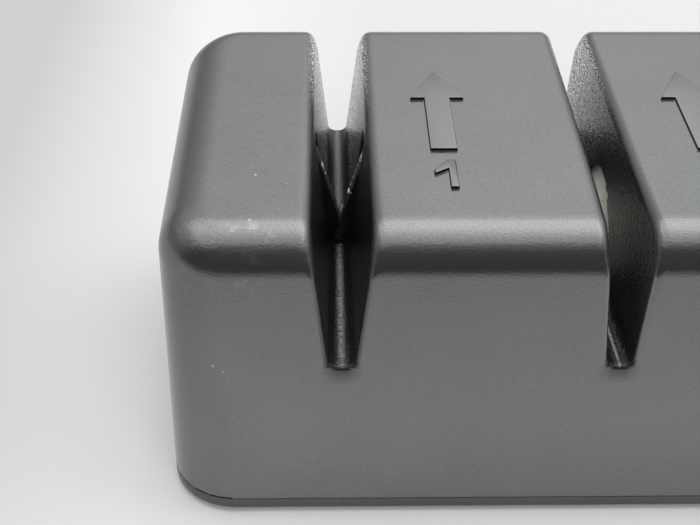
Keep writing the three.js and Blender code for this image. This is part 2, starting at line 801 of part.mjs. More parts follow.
// One bevelled ring: its inner face leans away from the slot's middle to form half of the groove
function wheelProfile() {
  const cornerAlong = wheelHalfSplit + (flankCornerRadius - grooveRadius) * flankSlope;
  const webRecessRadius = flankCornerRadius - rimWallThickness;
  const ringBossRadius = ringBoreRadius + ringBossThickness;
  return [
    [ringBoreRadius, wheelHalfSplit],
    [grooveRadius, wheelHalfSplit],
    [flankCornerRadius, cornerAlong],
    [wheelRadius, cornerAlong + rimBevel],
    [wheelRadius, wheelOuterFace - wheelOuterChamfer],
    [wheelRadius - wheelOuterChamfer, wheelOuterFace],
    [webRecessRadius, wheelOuterFace],
    [webRecessRadius, wheelOuterFace - webRecessDepth],
    [ringBossRadius, wheelOuterFace - webRecessDepth],
    [ringBossRadius, wheelOuterFace],
    [ringBoreRadius, wheelOuterFace],
    [ringBoreRadius, wheelHalfSplit],
  ];
}

function bushProfile() {
  const bore = axleRadius + runningClearance;
  const flangeOuter = bushInner + bushFlangeThickness;
  return [[bore, bushInner], [bushFlangeRadius, bushInner], [bushFlangeRadius, flangeOuter],
    [bushRadius, flangeOuter], [bushRadius, cheekOuter], [bore, cheekOuter], [bore, bushInner]];
}

const sharpener = new THREE.Group();

function addPiece(name, geometry, look) {
  const mesh = new THREE.Mesh(geometry, look);
  mesh.name = name;
  sharpener.add(mesh);
}

// A turned piece, on the left or right of the fine slot
function addTurned(name, profile, side, segments, look) {
  const sided = side < 0 ? mirrored(profile) : profile;
  addPiece(name, turned(sided, segments, fineSlot.x, axleHeight), look);
}

// The two blades between their jaws, with the screws that draw the jaws together and hold them up
function addBlades() {
  addPiece('coarse_holder', bladeHolder(), innerPlastic());
  addPiece('coarse_clamp', bladeClamp(), hubPlastic());
  for (const [side, label] of [[-1, 'left'], [1, 'right']]) {
    addPiece(`coarse_blade_${label}`, blade(side), carbide());
    addPiece(`coarse_clamp_screw_${label}`, clampScrew(side), steel());
  }
  for (const [side, label] of [[-1, 'front'], [1, 'back']]) {
    addPiece(`coarse_holder_screw_${label}`, tabScrew(coarseSlot.x, side), steel());
  }
}

// The axle with its hub, rings, washers and clips, and the cradle with its bushes and screws
function addWheels() {
  addPiece('fine_cradle', cradle(), innerPlastic());
  const axle = [[0, -axleHalfLength], [axleRadius, -axleHalfLength], [axleRadius, axleHalfLength],
    [0, axleHalfLength]];
  addTurned('fine_axle', axle, 1, smallSegments, steel());
  const seatBore = axleRadius + pressClearance;
  const hub = sleeve(seatBore, hubRadius, -hubHalfLength, hubHalfLength);
  const washer = sleeve(seatBore, washerRadius, washerInner, washerInner + washerThickness);
  const clip = sleeve(seatBore, clipRadius, clipInner, clipInner + clipThickness);
  addTurned('fine_hub', hub, 1, smallSegments, hubPlastic());
  for (const [side, label] of [[-1, 'left'], [1, 'right']]) {
    addTurned(`fine_wheel_${label}`, wheelProfile(), side, roundSegments, fineCeramic());
    addTurned(`fine_washer_${label}`, washer, side, smallSegments, steel());
    addTurned(`fine_bush_${label}`, bushProfile(), side, smallSegments, bronze());
    addTurned(`fine_clip_${label}`, clip, side, smallSegments, steel());
  }
  for (const [side, label] of [[-1, 'front'], [1, 'back']]) {
    addPiece(`fine_cradle_screw_${label}`, tabScrew(fineSlot.x, side), steel());
  }
}

addPiece('housing', housing(), housingPlastic());
addPiece('base_cover', baseCover(), coverPlastic());
for (const place of footPlaces) {
  addPiece(`foot_${place.name}`, foot(place), footRubber());
}
for (const place of baseScrewPlaces) {
  addPiece(`base_screw_${place.name}`, baseScrew(place), steel());
}
addBlades();
addWheels();

export default sharpener;
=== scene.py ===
# Two-stage manual knife sharpener, dressed for rendering. Lengths in the constants are millimetres,
# apart from the stage's and the camera's, and every mesh is scaled to metres when it is made. +X runs
# along the handle, +Z is up.

from collections import namedtuple
import math

import bpy
import numpy as np
from mathutils import Matrix, Vector


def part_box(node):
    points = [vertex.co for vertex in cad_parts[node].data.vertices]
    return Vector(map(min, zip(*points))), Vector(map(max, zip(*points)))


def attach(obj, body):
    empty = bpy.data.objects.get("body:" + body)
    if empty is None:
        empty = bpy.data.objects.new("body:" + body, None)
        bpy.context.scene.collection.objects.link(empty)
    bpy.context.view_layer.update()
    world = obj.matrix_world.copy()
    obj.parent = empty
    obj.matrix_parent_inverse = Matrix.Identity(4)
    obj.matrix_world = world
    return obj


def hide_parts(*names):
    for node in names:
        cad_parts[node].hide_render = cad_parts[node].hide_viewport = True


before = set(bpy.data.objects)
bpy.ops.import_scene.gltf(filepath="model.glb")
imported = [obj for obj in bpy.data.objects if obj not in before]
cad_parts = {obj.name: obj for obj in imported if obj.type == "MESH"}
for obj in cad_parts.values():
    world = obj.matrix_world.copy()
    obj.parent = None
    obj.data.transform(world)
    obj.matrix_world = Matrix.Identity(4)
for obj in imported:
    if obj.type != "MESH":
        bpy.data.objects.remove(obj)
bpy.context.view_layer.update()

METRE = 0.001
TINY = 1e-9
BODY = "sharpener_body"
ROTOR = "fine_rotor"

# Outer form of the housing, a hair shorter than its solid so that it stays inside it
OVERALL_LENGTH = 189.98
BLOCK_HALF_DEPTH = 27.45
GRIP_HALF_DEPTH = 20.0
GRIP_TOP = 29.6
CORNER_RADIUS = 7.5
GRIP_END_RADIUS = 15.0
BLOCK_EDGE_RADIUS = 4.7
LEFT_EDGE_RADIUS = 5.5
GRIP_EDGE_RADIUS = 9.0
BLEND_START_FROM_END = 70.0
BLEND_LENGTH = 34.0
FACE_DRAFT = math.tan(math.radians(2.44))
WALL = 2.2
HOUSING_BOTTOM = 2.1

# What both slots have alike, with the flare and the rise of their floors towards the front face
SLOT_DEPTH = 16.9
SLOT_FACE_LIP_RADIUS = 0.55
SLOT_LIP_FADE = 2.0
SLOT_FLOOR_FLARE_SHARE = 0.25
SLOT_FLOOR_RISE = 1.0
SLOT_CORNER_RADIUS = 0.9
SLOT_WALL = 1.6
SLOT_FLOOR_THICKNESS = 1.8
OVERRUN = 2.0

# Grid that the housing is meshed on: its margins, where its steps change, and the steps
GRID_MARGIN = 0.6
GRID_TOP_MARGIN = 0.5
GRID_LEFT_END = 8.0
GRID_GRIP_END = 9.0
GRID_BESIDE_SLOT = 4.8
GRID_Y_STOPS = (21.0, 14.0, 2.4)
GRID_ABOVE_BOTTOM = 1.0
GRID_BELOW_FLOOR = 3.0
GRID_ABOVE_FLOOR = 1.6
GRID_BELOW_TOP = 6.0
GRID_X_STEPS = (0.4, 0.9, 0.24, 0.9, 0.24, 1.5, 0.6)
GRID_Y_STEPS = (0.35, 0.8, 0.5, 0.24, 0.5, 0.8, 0.35)
GRID_Z_STEPS = (0.35, 1.0, 0.3, 0.55, 0.3)
PULL_ROUNDS = 4
PULL_REACH = 0.12
SLOPE_NUDGE = 0.02
LEAST_SQUARED_SLOPE = 0.25

# Carbide blades and the pocket that they stand in
SEAT_GAP = 0.3
BLADE_LENGTH = 18.0
BLADE_WIDTH = 3.2
BLADE_TILT = math.radians(17.2)
BLADE_BEVEL_WIDTH = 0.4
BLADE_BEVEL_DEPTH = 0.3
BLADE_CORNER = 0.05
BLADE_STATIONS = 220
BLADE_SEED = 60
CHIP_ROUGHNESS = 0.015
CHIP_COUNT = 34
CHIP_STATIONS = (1, 4)
CHIP_DEPTHS = (0.04, 0.13)
POCKET_ABOVE_BLADE = 1.8
POCKET_ROUNDING = 0.12

# Window that the wheels rise through: half widths by radius from the axle
WINDOW_TONGUE_RADIUS = 6.4
WINDOW_EDGE_RADIUS = 11.9
WINDOW_EDGE_HALF_WIDTH = 2.07
WINDOW_RIM_RADIUS = 13.9
WINDOW_RIM_HALF_WIDTH = 2.87
WINDOW_ROUNDING = 0.2

# Wheels and what turns with them
WHEEL_RADIUS = 12.4
RIM_BEVEL = 0.8
GROOVE_RADIUS = 5.5
WHEEL_HALF_SPLIT = 0.15
FLANK_SLOPE = math.tan(math.radians(22.0))
WHEEL_OUTER_FACE = 6.0
WHEEL_BORE_RADIUS = 4.6
WHEEL_EDGE = 0.4
WHEEL_EDGE_BULGE = 0.12
WHEEL_UNWORKED = 0.5
WHEEL_GRIT = 0.01
WHEEL_SEED = 40
WEB_RECESS_DEPTH = 1.0
WEB_RECESS_RADII = (9.5, 6.4)
WEB_EDGE = 0.2
FLANK_STEPS = 26
RIM_STEPS = 5
SHAFT_BORE_RADIUS = 1.6
SHAFT_EDGE = 0.3
SMALL_EDGE = 0.1
BUSH_RADIUS = 2.6
BUSH_FLANGE_THICKNESS = 0.6

# Cover and feet
CORNER_STEPS = 24
BLEND_STEPS = 48
COVER_LIP_INSET = 2.5
COVER_LIP_EDGE = 0.15
COVER_RIM_TOP = 2.06
COVER_RIM_EDGE = 0.12
COVER_RIM_BULGE = 0.03
COVER_EDGE = 0.4
COVER_EDGE_STEPS = 4
COVER_UNDERSIDE_INSET = 0.25
FOOT_DISH_DEPTH = 0.15
FOOT_DISH_STEP = 0.04
FOOT_DISH_INSETS = (1.3, 1.1, 0.9)
FOOT_EDGE = 0.4
FOOT_EDGE_BULGE = 0.12
FOOT_TOP_EDGE = 0.15

# Screws, with the radius and the thickness of each kind of head
SCREW_RADIUS = 1.5
SCREW_BORE_RADIUS = 1.8
BASE_HEAD = (3.0, 1.2)
CRADLE_HEAD = (2.7, 1.6)
CLAMP_HEAD = (2.4, 1.4)
HEAD_ROUNDING = 0.45
HEAD_EDGE = 0.1
HEAD_STEPS = 4
THREAD_PITCH = 0.6
THREAD_DEPTH = 0.2
THREAD_FOOT_SHARE = 0.4
THREAD_TOP_SHARE = 0.8
THREAD_END_SHARE = 1.5
TIP_LENGTH = 0.5
TIP_INSET = 0.4
DRIVE_WIDTH = 0.7
DRIVE_REACH = 1.5
DRIVE_DEPTH = 0.6
DRIVE_TAPER = 0.12

# Bosses and ribs
BASE_BOSS_RADIUS = 3.2
CRADLE_BOSS_RADIUS = 3.4
CRADLE_BOSS_BOTTOM = 9.3
BOSS_TOP_BEVEL = 1.2
BOSS_EDGE = 0.15
BORE_EDGE = 0.2
RIB_THICKNESS = 2.0
RIB_BOTTOM = 12.0
RIB_EDGE = 0.15
RIB_ARC_POINTS = 16
RIB_SHARES = (1 / 3, 2 / 3)
SOLID_EDGE = 0.15

# Raised arrow and figures, a little lower than the solid's
SOLID_MARK_HEIGHT = 0.5
MARK_HEIGHT = 0.38
MARK_SINK = 0.3
MARK_LIFT = 0.005
MARK_EDGE = 0.16
MARK_FOOT = 0.14
MARK_STEPS = 3
ARROW_FROM_SLOT = 11.6
ARROW_TIP = 10.35
ARROW_HEAD_BASE = 3.7
ARROW_HEAD_WIDTH = 6.3
ARROW_SHAFT_WIDTH = 3.0
ARROW_SHAFT_END = -8.2
FIGURE_FROM_SLOT = 11.8
FIGURE_TOP = -10.6
FIGURE_HEIGHT = 5.6
FIGURE_WIDTH = 2.4
FIGURE_STROKE = 0.85
BOW_ANGLES = (-30, 180)
BOW_STEPS = 20
LEAST_LEAN = 0.35

# Steps round a turned piece, and the angles from which an edge looks sharp
WHEEL_SEGMENTS = 240
WIDE_SEGMENTS = 96
SHAFT_SEGMENTS = 72
SCREW_SEGMENTS = 64
BOSS_SEGMENTS = 48
BLADE_SHARP_DEGREES = 25
SHARP_DEGREES = 35
TURNED_SHARP_DEGREES = 40
MARK_SHARP_DEGREES = 50
WHEEL_SHARP_DEGREES = 60

# Where the housing's look changes, its painted shade, light and highlights included: beside a slot's middle
# or its walls, over the slots' floors, under a slot's front end, over the block's top, and along an axis
COARSE_BESIDE = (0.9, 0.35)
FINE_BESIDE = (0.5, 0.2)
OVER_FLOOR = (-0.35, -0.05)
COARSE_LINE_REACH = 0.5
FINE_LINE_REACH = 0.22
LINE_TOP = (0.5, 0.2)
LINE_BOTTOM = (-0.6, -0.3)
LINE_BEHIND = (-2.0, 2.0)
LINE_AHEAD = (0.0, -4.0)
BELOW_SLOT_SHADE_BESIDE = (2.4, 0.6)
BELOW_SLOT_SHADE_BOTTOM = (-2.6, -0.9)
BELOW_SLOT_SHADE_TOP = (0.6, -0.3)
BELOW_SLOT_SHADE_FRONT = (-24.5, -25.5)
MARK_WALL_HEIGHTS = ((0.012, 0.03), (0.3, 0.2))
BACK_WALL = (2.0, 20.0)
BACK_WALL_OVER_FLOOR = (1.0, 4.0)
BETWEEN_SLOTS = (-62.0, -58.0)
GLINT_TURN = math.radians(34)
GLINT_LENGTH_SHARES = (0.16, 0.45)
LEFT_BLOCK = (-78.0, -84.0)
BESIDE_LEFT_END = (-91.5, -89.0)
FRONT_EDGE = (-19.0, -23.0)
FRONT_EDGE_HEIGHT = (28.0, 31.0)
BLADE_GROUND_EDGE_HIGHLIGHT = (0.34, 0.26)
NOISE_RANGE = (0.3, 0.7)

# Where the floor's painted light and shade change along X and Y
FLOOR_PAST_END = (-130.0, -100.0)
FLOOR_BESIDE_BLOCK = (-95.0, -70.0)
FLOOR_AHEAD = (-30.0, -110.0)
FLOOR_AHEAD_OF_BLOCK = (-90.0, -30.0)
FLOOR_MIRRORED = (-75.0, -150.0)
FLOOR_AT_FRONT = (-24.0, -30.0)
FLOOR_AT_FRONT_END = (-96.0, -84.0)

# Stage, in metres; each ramp of the world is an axis, where it starts and ends, and its strengths there
FLOOR_REACH = 3.0
CARD_PLACE = -0.165
CARD_TOP = 0.16
CARD_REACH = 0.45
SOFTBOX_SIZE = (1.0, 0.56)
SOFTBOX_RADIANCE = 0.76
SOFTBOX_PLACE = (-0.03, -0.01, 0.45)
FILL_SIZE = (1.8, 0.8)
FILL_RADIANCE = 2.45
FILL_PLACE = (-0.05, -1.2, 0.85)
FILL_TILT = 55
WORLD_RAMPS = (("Y", -0.35, 0.15, 0.12, 1.0), ("X", -0.35, 0.12, 0.6, 1.05), ("Z", 0.18, 0.7, 0.5, 1.75))

# Camera, as fitted to the photograph's straight edges, with its place in metres
CAMERA_PLACE = (-0.07711, -0.13623, 0.11262)
CAMERA_PITCH = 35.35
CAMERA_YAW = 1.30
CAMERA_ROLL = 0.55
FOCAL_PIXELS = 1327.0
PHOTO_WIDTH = 700.0
SENSOR_WIDTH = 36.0
NEAREST_SEEN = 0.01


def node_middle(node):
    low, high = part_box(node)
    return (low + high) / 2 / METRE


def node_edges(node):
    low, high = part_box(node)
    return low / METRE, high / METRE


def node_size(node):
    low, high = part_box(node)
    return (high - low) / METRE


LEFT_END = -OVERALL_LENGTH / 2
RIGHT_END = OVERALL_LENGTH / 2
BLEND_START = LEFT_END + BLEND_START_FROM_END
BLOCK_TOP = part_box("housing")[1].z / METRE - SOLID_MARK_HEIGHT
SLOT_FLOOR = BLOCK_TOP - SLOT_DEPTH
AXLE_HEIGHT = node_middle("fine_axle").z
# The middle of a slot, its half width below the lip and at the floor, its lip radius and its front flare
Slot = namedtuple("Slot", "x top floor lip flare")
COARSE = Slot(node_middle("coarse_holder").x, top=2.95, floor=1.15, lip=1.4, flare=0.45)
FINE = Slot(node_middle("fine_axle").x, top=2.15, floor=1.2, lip=1.4, flare=0.5)
SLOTS = (COARSE, FINE)
BLADE_LOW, BLADE_HIGH = node_edges("coarse_blade_right")
BLADE_INNER = -BLADE_HIGH.y
BLADE_OUTER = -BLADE_LOW.y
BLADE_TOP_X = BLADE_HIGH.x - COARSE.x - BLADE_WIDTH * math.cos(BLADE_TILT)
POCKET = (BLADE_HIGH.x - COARSE.x + SEAT_GAP, BLADE_OUTER + SEAT_GAP, BLADE_HIGH.z + POCKET_ABOVE_BLADE)


def lerp(start, end, share):
    return start + (end - start) * share


def made_mesh(name, points, faces, sharp_degrees=None):
    mesh = bpy.data.meshes.new(name)
    mesh.from_pydata((np.asarray(points) * METRE).tolist(), [], faces)
    mesh.validate()
    mesh.shade_smooth()
    if sharp_degrees is not None:
        mesh.set_sharp_from_angle(angle=math.radians(sharp_degrees))
    piece = bpy.data.objects.new(name, mesh)
    bpy.context.scene.collection.objects.link(piece)
    return piece


def settle(piece, slot, body, *nodes):
    """The piece with the look of its slot, on its body, in the place of the nodes."""
    piece.data.materials.append(LOOKS[slot])
    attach(piece, body)
    if nodes:
        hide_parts(*nodes)
    return piece


# Housing skin: a distance field, meshed with one corner in each grid cell that the surface crosses

def round_meet(a, b, radius):
    """Where two spaces overlap, with the edge between them rounded."""
    corner = np.hypot(np.maximum(a + radius, 0), np.maximum(b + radius, 0))
    return np.minimum(np.maximum(a, b), -radius) + corner


def blend_share(x):
    share = np.clip((x - BLEND_START) / BLEND_LENGTH, 0, 1)
    return share * share * (3 - 2 * share)


def blend_slope(x):
    share = np.clip((x - BLEND_START) / BLEND_LENGTH, 0, 1)
    return 6 * share * (1 - share) / BLEND_LENGTH


def body_distance(x, y, z, inset):
    share = blend_share(x)
    slope = blend_slope(x)
    half = lerp(BLOCK_HALF_DEPTH, GRIP_HALF_DEPTH, share) - inset - z * FACE_DRAFT
    side = (np.abs(y) - half) / np.hypot(1, slope * (BLOCK_HALF_DEPTH - GRIP_HALF_DEPTH))
    left = LEFT_END + inset - x
    right = x - RIGHT_END + inset
    outline = round_meet(side, left, CORNER_RADIUS - inset)
    outline = round_meet(outline, right, GRIP_END_RADIUS - inset)
    to_left = np.maximum(left + CORNER_RADIUS, 0) ** 2
    to_side = np.maximum(side + CORNER_RADIUS, 0) ** 2
    left_share = to_left / np.maximum(to_left + to_side, TINY)
    block_radius = lerp(BLOCK_EDGE_RADIUS, LEFT_EDGE_RADIUS, left_share)
    edge_radius = lerp(block_radius, GRIP_EDGE_RADIUS, share) - inset
    top = lerp(BLOCK_TOP, GRIP_TOP, share) - inset
    above = (z - top) / np.hypot(1, slope * (BLOCK_TOP - GRIP_TOP))
    return round_meet(outline, above, edge_radius)


def slot_distance(x, y, z, slot):
    depth = BLOCK_TOP - z
    flare = slot.flare * np.clip(-y / (BLOCK_HALF_DEPTH + OVERRUN), 0, 1) ** 3
    flare = flare * np.interp(depth, [0, SLOT_DEPTH], [1, SLOT_FLOOR_FLARE_SHARE])
    half = np.interp(depth, [slot.lip, SLOT_DEPTH], [slot.top, slot.floor])
    across = np.abs(x - slot.x)
    floor_rise = SLOT_FLOOR_RISE * np.clip(-y / BLOCK_HALF_DEPTH, 0, 1) ** 3
    return round_meet(across - half - flare, depth - SLOT_DEPTH + floor_rise, SLOT_CORNER_RADIUS)


def window_distance(x, y, z):
    radius = np.hypot(y, z - AXLE_HEIGHT)
    along = np.abs(x - FINE.x)
    edge = np.interp(radius, [WINDOW_TONGUE_RADIUS, WINDOW_EDGE_RADIUS, WINDOW_RIM_RADIUS],
                     [0, WINDOW_EDGE_HALF_WIDTH, WINDOW_RIM_HALF_WIDTH])
    side = FINE.top + FINE.flare + SLOT_WALL + OVERRUN
    outside = np.maximum(radius - WINDOW_RIM_RADIUS, along - side)
    return np.maximum(outside, edge - along)


def pocket_distance(x, y, z, wall):
    half_width, half_depth, top = POCKET
    beside = np.maximum(np.abs(x - COARSE.x) - half_width - wall, np.abs(y) - half_depth - wall)
    return beside if wall else np.maximum(beside, z - top)


def housing_distance(x, y, z):
    skin = body_distance(x, y, z, 0)
    hollow = body_distance(x, y, z, WALL)
    near_top = np.clip((z - BLOCK_TOP + BLOCK_EDGE_RADIUS) / SLOT_LIP_FADE, 0, 1)
    blocks = pocket_distance(x, y, z, SLOT_WALL)
    for slot in SLOTS:
        lip = lerp(SLOT_FACE_LIP_RADIUS, slot.lip, near_top)
        skin = round_meet(skin, -slot_distance(x, y, z, slot), lip)
        blocks = np.minimum(blocks, np.abs(x - slot.x) - slot.top - slot.flare - SLOT_WALL)
    hollow = np.maximum(hollow, -np.maximum(blocks, SLOT_FLOOR - SLOT_FLOOR_THICKNESS - z))
    solid = np.maximum(np.maximum(skin, -hollow), HOUSING_BOTTOM - z)
    solid = round_meet(solid, -pocket_distance(x, y, z, 0), POCKET_ROUNDING)
    return round_meet(solid, -window_distance(x, y, z), WINDOW_ROUNDING)


def graded(stops, steps):
    """Grid lines from stop to stop, with about the given step between each pair."""
    lines = []
    for start, end, step in zip(stops, stops[1:], steps):
        lines.append(np.linspace(start, end, max(1, round((end - start) / step)), endpoint=False))
    return np.concatenate(lines + [np.array(stops[-1:])])


def net_points(lines, field):
    """One corner for each crossed cell, at the mean of its crossed edges, and the cells' numbers."""
    cells = tuple(size - 1 for size in field.shape)
    total = np.zeros(cells + (3,))
    count = np.zeros(cells)
    for axis in range(3):
        low = np.take(field, range(field.shape[axis] - 1), axis)
        high = np.take(field, range(1, field.shape[axis]), axis)
        crossed = (low < 0) != (high < 0)
        share = np.where(crossed, low / np.where(crossed, low - high, 1), 0)
        place = [np.broadcast_to(lines[i].reshape([-1 if i == j else 1 for j in range(3)]), field.shape)
                 for i in range(3)]
        place = [np.take(values, range(field.shape[axis] - 1), axis).copy() for values in place]
        span = np.diff(lines[axis]).reshape([-1 if axis == j else 1 for j in range(3)])
        place[axis] += share * span
        others = [i for i in range(3) if i != axis]
        for first in (0, 1):
            for second in (0, 1):
                part = [slice(None)] * 3
                part[others[0]] = slice(first, first + cells[others[0]])
                part[others[1]] = slice(second, second + cells[others[1]])
                part = tuple(part)
                count += crossed[part]
                for i in range(3):
                    total[..., i] += np.where(crossed[part], place[i][part], 0)
    active = count > 0
    numbers = np.full(cells, -1)
    numbers[active] = np.arange(active.sum())
    return total[active] / count[active][:, None], numbers


def net_faces(field, numbers):
    """A face round each crossed grid edge, turned so that it looks out of the solid."""
    faces = []
    inside = field < 0
    for axis in range(3):
        u, v = (axis + 1) % 3, (axis + 2) % 3
        low = np.take(inside, range(field.shape[axis] - 1), axis)
        high = np.take(inside, range(1, field.shape[axis]), axis)
        edges = np.argwhere(low != high)
        keep = (edges[:, u] > 0) & (edges[:, u] < field.shape[u] - 1)
        keep &= (edges[:, v] > 0) & (edges[:, v] < field.shape[v] - 1)
        edges = edges[keep]
        corners = []
        for step_u, step_v in ((1, 1), (0, 1), (0, 0), (1, 0)):
            cell = edges.copy()
            cell[:, u] -= step_u
            cell[:, v] -= step_v
            corners.append(numbers[tuple(cell.T)])
        quads = np.stack(corners, axis=1)
        outward = low[tuple(edges.T)]
        faces.append(np.where(outward[:, None], quads, quads[:, ::-1]))
    return np.concatenate(faces)


def pulled_to_surface(points, distance):
    """Corners moved down the slope of the distance field, at most a little way each time."""
    for _ in range(PULL_ROUNDS):
        value = distance(*points.T)
        slope = np.empty_like(points)
        for axis in range(3):
            ahead = points.copy()
            ahead[:, axis] += SLOPE_NUDGE
            slope[:, axis] = (distance(*ahead.T) - value) / SLOPE_NUDGE
        length = np.maximum((slope ** 2).sum(axis=1), LEAST_SQUARED_SLOPE)
        step = -slope * (value / length)[:, None]
        reach = np.linalg.norm(step, axis=1, keepdims=True)
        points = points + step * np.minimum(1, PULL_REACH / np.maximum(reach, TINY))
    return points


def housing_skin():
    x_stops = [LEFT_END - GRID_MARGIN, LEFT_END + GRID_LEFT_END]
    for slot in SLOTS:
        x_stops += [slot.x - GRID_BESIDE_SLOT, slot.x + GRID_BESIDE_SLOT]
    x_stops += [RIGHT_END - GRID_GRIP_END, RIGHT_END + GRID_MARGIN]
    half = BLOCK_HALF_DEPTH + GRID_MARGIN
    y_stops = [-half, *(-stop for stop in GRID_Y_STOPS), *reversed(GRID_Y_STOPS), half]
    z_stops = [HOUSING_BOTTOM - GRID_MARGIN, HOUSING_BOTTOM + GRID_ABOVE_BOTTOM,
               SLOT_FLOOR - GRID_BELOW_FLOOR, SLOT_FLOOR + GRID_ABOVE_FLOOR,
               BLOCK_TOP - GRID_BELOW_TOP, BLOCK_TOP + GRID_TOP_MARGIN]
    lines = [graded(x_stops, GRID_X_STEPS), graded(y_stops, GRID_Y_STEPS), graded(z_stops, GRID_Z_STEPS)]
    field = housing_distance(*np.meshgrid(*lines, indexing="ij"))
    points, numbers = net_points(lines, field)
    faces = net_faces(field, numbers)
    points = pulled_to_surface(points, housing_distance)
    piece = made_mesh("housing_skin", points, faces.tolist())
    return settle(piece, "housing_plastic", BODY, "housing")


# Raised marks

def arrow_outline(slot):
    middle = slot.x + ARROW_FROM_SLOT
    shaft = ARROW_SHAFT_WIDTH / 2
    head = ARROW_HEAD_WIDTH / 2
    return [(middle - shaft, ARROW_SHAFT_END), (middle + shaft, ARROW_SHAFT_END),
            (middle + shaft, ARROW_HEAD_BASE), (middle + head, ARROW_HEAD_BASE), (middle, ARROW_TIP),
            (middle - head, ARROW_HEAD_BASE), (middle - shaft, ARROW_HEAD_BASE)]


def figure_one_outline(slot):
    right = slot.x + FIGURE_FROM_SLOT + FIGURE_STROKE
    left = right - FIGURE_WIDTH
    stem = right - FIGURE_STROKE
    bottom = FIGURE_TOP - FIGURE_HEIGHT
    drop = FIGURE_WIDTH - FIGURE_STROKE / 2
    return [(stem, bottom), (right, bottom), (right, FIGURE_TOP), (stem, FIGURE_TOP),
            (left, FIGURE_TOP - drop), (left, FIGURE_TOP - drop - FIGURE_STROKE),
            (stem, FIGURE_TOP - FIGURE_STROKE * 2)]


def arc(centre_x, centre_y, radius, start, end):
    angles = np.radians(np.linspace(start, end, BOW_STEPS + 1))
    return [(centre_x + radius * math.cos(a), centre_y + radius * math.sin(a)) for a in angles]


def figure_two_outline(slot):
    radius = (FIGURE_WIDTH + FIGURE_STROKE) / 2
    inner = radius - FIGURE_STROKE
    middle = slot.x + FIGURE_FROM_SLOT
    bow = FIGURE_TOP - radius
    bottom = FIGURE_TOP - FIGURE_HEIGHT
    turn = radius * math.sqrt(0.5)
    points = [(middle - radius, bottom), (middle + radius, bottom),
              (middle + radius, bottom + FIGURE_STROKE), (middle - inner, bottom + FIGURE_STROKE),
              (middle + turn + FIGURE_STROKE / 2, bow - turn)]
    points += arc(middle, bow, radius, *BOW_ANGLES)
    points += arc(middle, bow, inner, *reversed(BOW_ANGLES))
    points.append((middle - radius, bottom + FIGURE_STROKE))
    return points


def drawn_in(outline, inset):
    """The outline moved inwards by an inset, with mitred corners."""
    points = np.array(outline)
    before = points - np.roll(points, 1, axis=0)
    after = np.roll(points, -1, axis=0) - points
    before /= np.linalg.norm(before, axis=1, keepdims=True)
    after /= np.linalg.norm(after, axis=1, keepdims=True)
    inward = np.stack([-(before + after)[:, 1], (before + after)[:, 0]], axis=1)
    inward /= np.linalg.norm(inward, axis=1, keepdims=True)
    lean = inward[:, 0] * -after[:, 1] + inward[:, 1] * after[:, 0]
    return points + inward * (inset / np.maximum(lean, LEAST_LEAN))[:, None]


def level_ring(outline, inset, height):
    ring = drawn_in(outline, inset)
    return np.column_stack([ring, np.full(len(ring), height)])


def quarter_turn(steps):
    """1 less the sine and 1 less the cosine at each step of a quarter turn."""
    angles = [math.radians(90 * step / steps) for step in range(steps + 1)]
    return [(1 - math.sin(angle), 1 - math.cos(angle)) for angle in angles]


def raised_mark(name, outline):
    turn = quarter_turn(MARK_STEPS)
    levels = [(-MARK_FOOT, -MARK_SINK), (-MARK_FOOT, MARK_LIFT)]
    levels += [(-MARK_FOOT * far, MARK_FOOT * near) for far, near in turn[1:]]
    levels += [(MARK_EDGE * near, MARK_HEIGHT - MARK_EDGE * far) for far, near in turn]
    rings = [level_ring(outline, inset, BLOCK_TOP + height) for inset, height in reversed(levels)]
    return settle(lofted(name, rings, MARK_SHARP_DEGREES), "housing_plastic", BODY)


# Turned pieces

def softened(profile, radius, steps=3):
    """A closed profile of (radius, along) points with each corner rounded."""
    points = [np.array(point, dtype=float) for point in profile]
    result = []
    for index, corner in enumerate(points):
        before = points[index - 1] - corner
        after = points[(index + 1) % len(points)] - corner
        cut = min(radius, np.linalg.norm(before) / 3, np.linalg.norm(after) / 3)
        start = corner + before / np.linalg.norm(before) * cut
        end = corner + after / np.linalg.norm(after) * cut
        if corner[0] == 0:
            result.append(corner)
            continue
        for step in range(steps + 1):
            share = step / steps
            result.append((1 - share) ** 2 * start + 2 * share * (1 - share) * corner + share ** 2 * end)
    return [tuple(point) for point in result]


def revolved(name, profile, segments, centre, axis, sharp_degrees=TURNED_SHARP_DEGREES):
    """A closed (radius, along) profile turned about X or Z through a centre."""
    ring = np.array(profile)
    angles = np.arange(segments) * 2 * math.pi / segments
    along = np.broadcast_to(ring[None, :, 1], (segments, len(ring)))
    across = ring[None, :, 0] * np.cos(angles)[:, None]
    up = ring[None, :, 0] * np.sin(angles)[:, None]
    order = [along, across, up] if axis == "x" else [across, up, along]
    points = np.stack(order, axis=2).reshape(-1, 3) + np.array(centre)
    on_axis = ring[:, 0] == 0
    numbers = np.arange(len(points)).reshape(segments, -1)
    numbers[:, on_axis] = np.flatnonzero(on_axis)
    onward = np.roll(numbers, -1, axis=0)
    quads = np.stack([numbers, np.roll(numbers, -1, axis=1), np.roll(onward, -1, axis=1), onward], axis=2)
    faces = [list(dict.fromkeys(quad)) for quad in quads.reshape(-1, 4).tolist()]
    return made_mesh(name, points, [face for face in faces if len(face) > 2], sharp_degrees)


def upright(name, node, profile, segments):
    """A profile turned about the upright line through a node's middle."""
    middle = node_middle(node)
    return revolved(name, profile, segments, (middle.x, middle.y, 0), "z")


def mirrored(profile):
    return [(radius, -along) for radius, along in reversed(profile)]


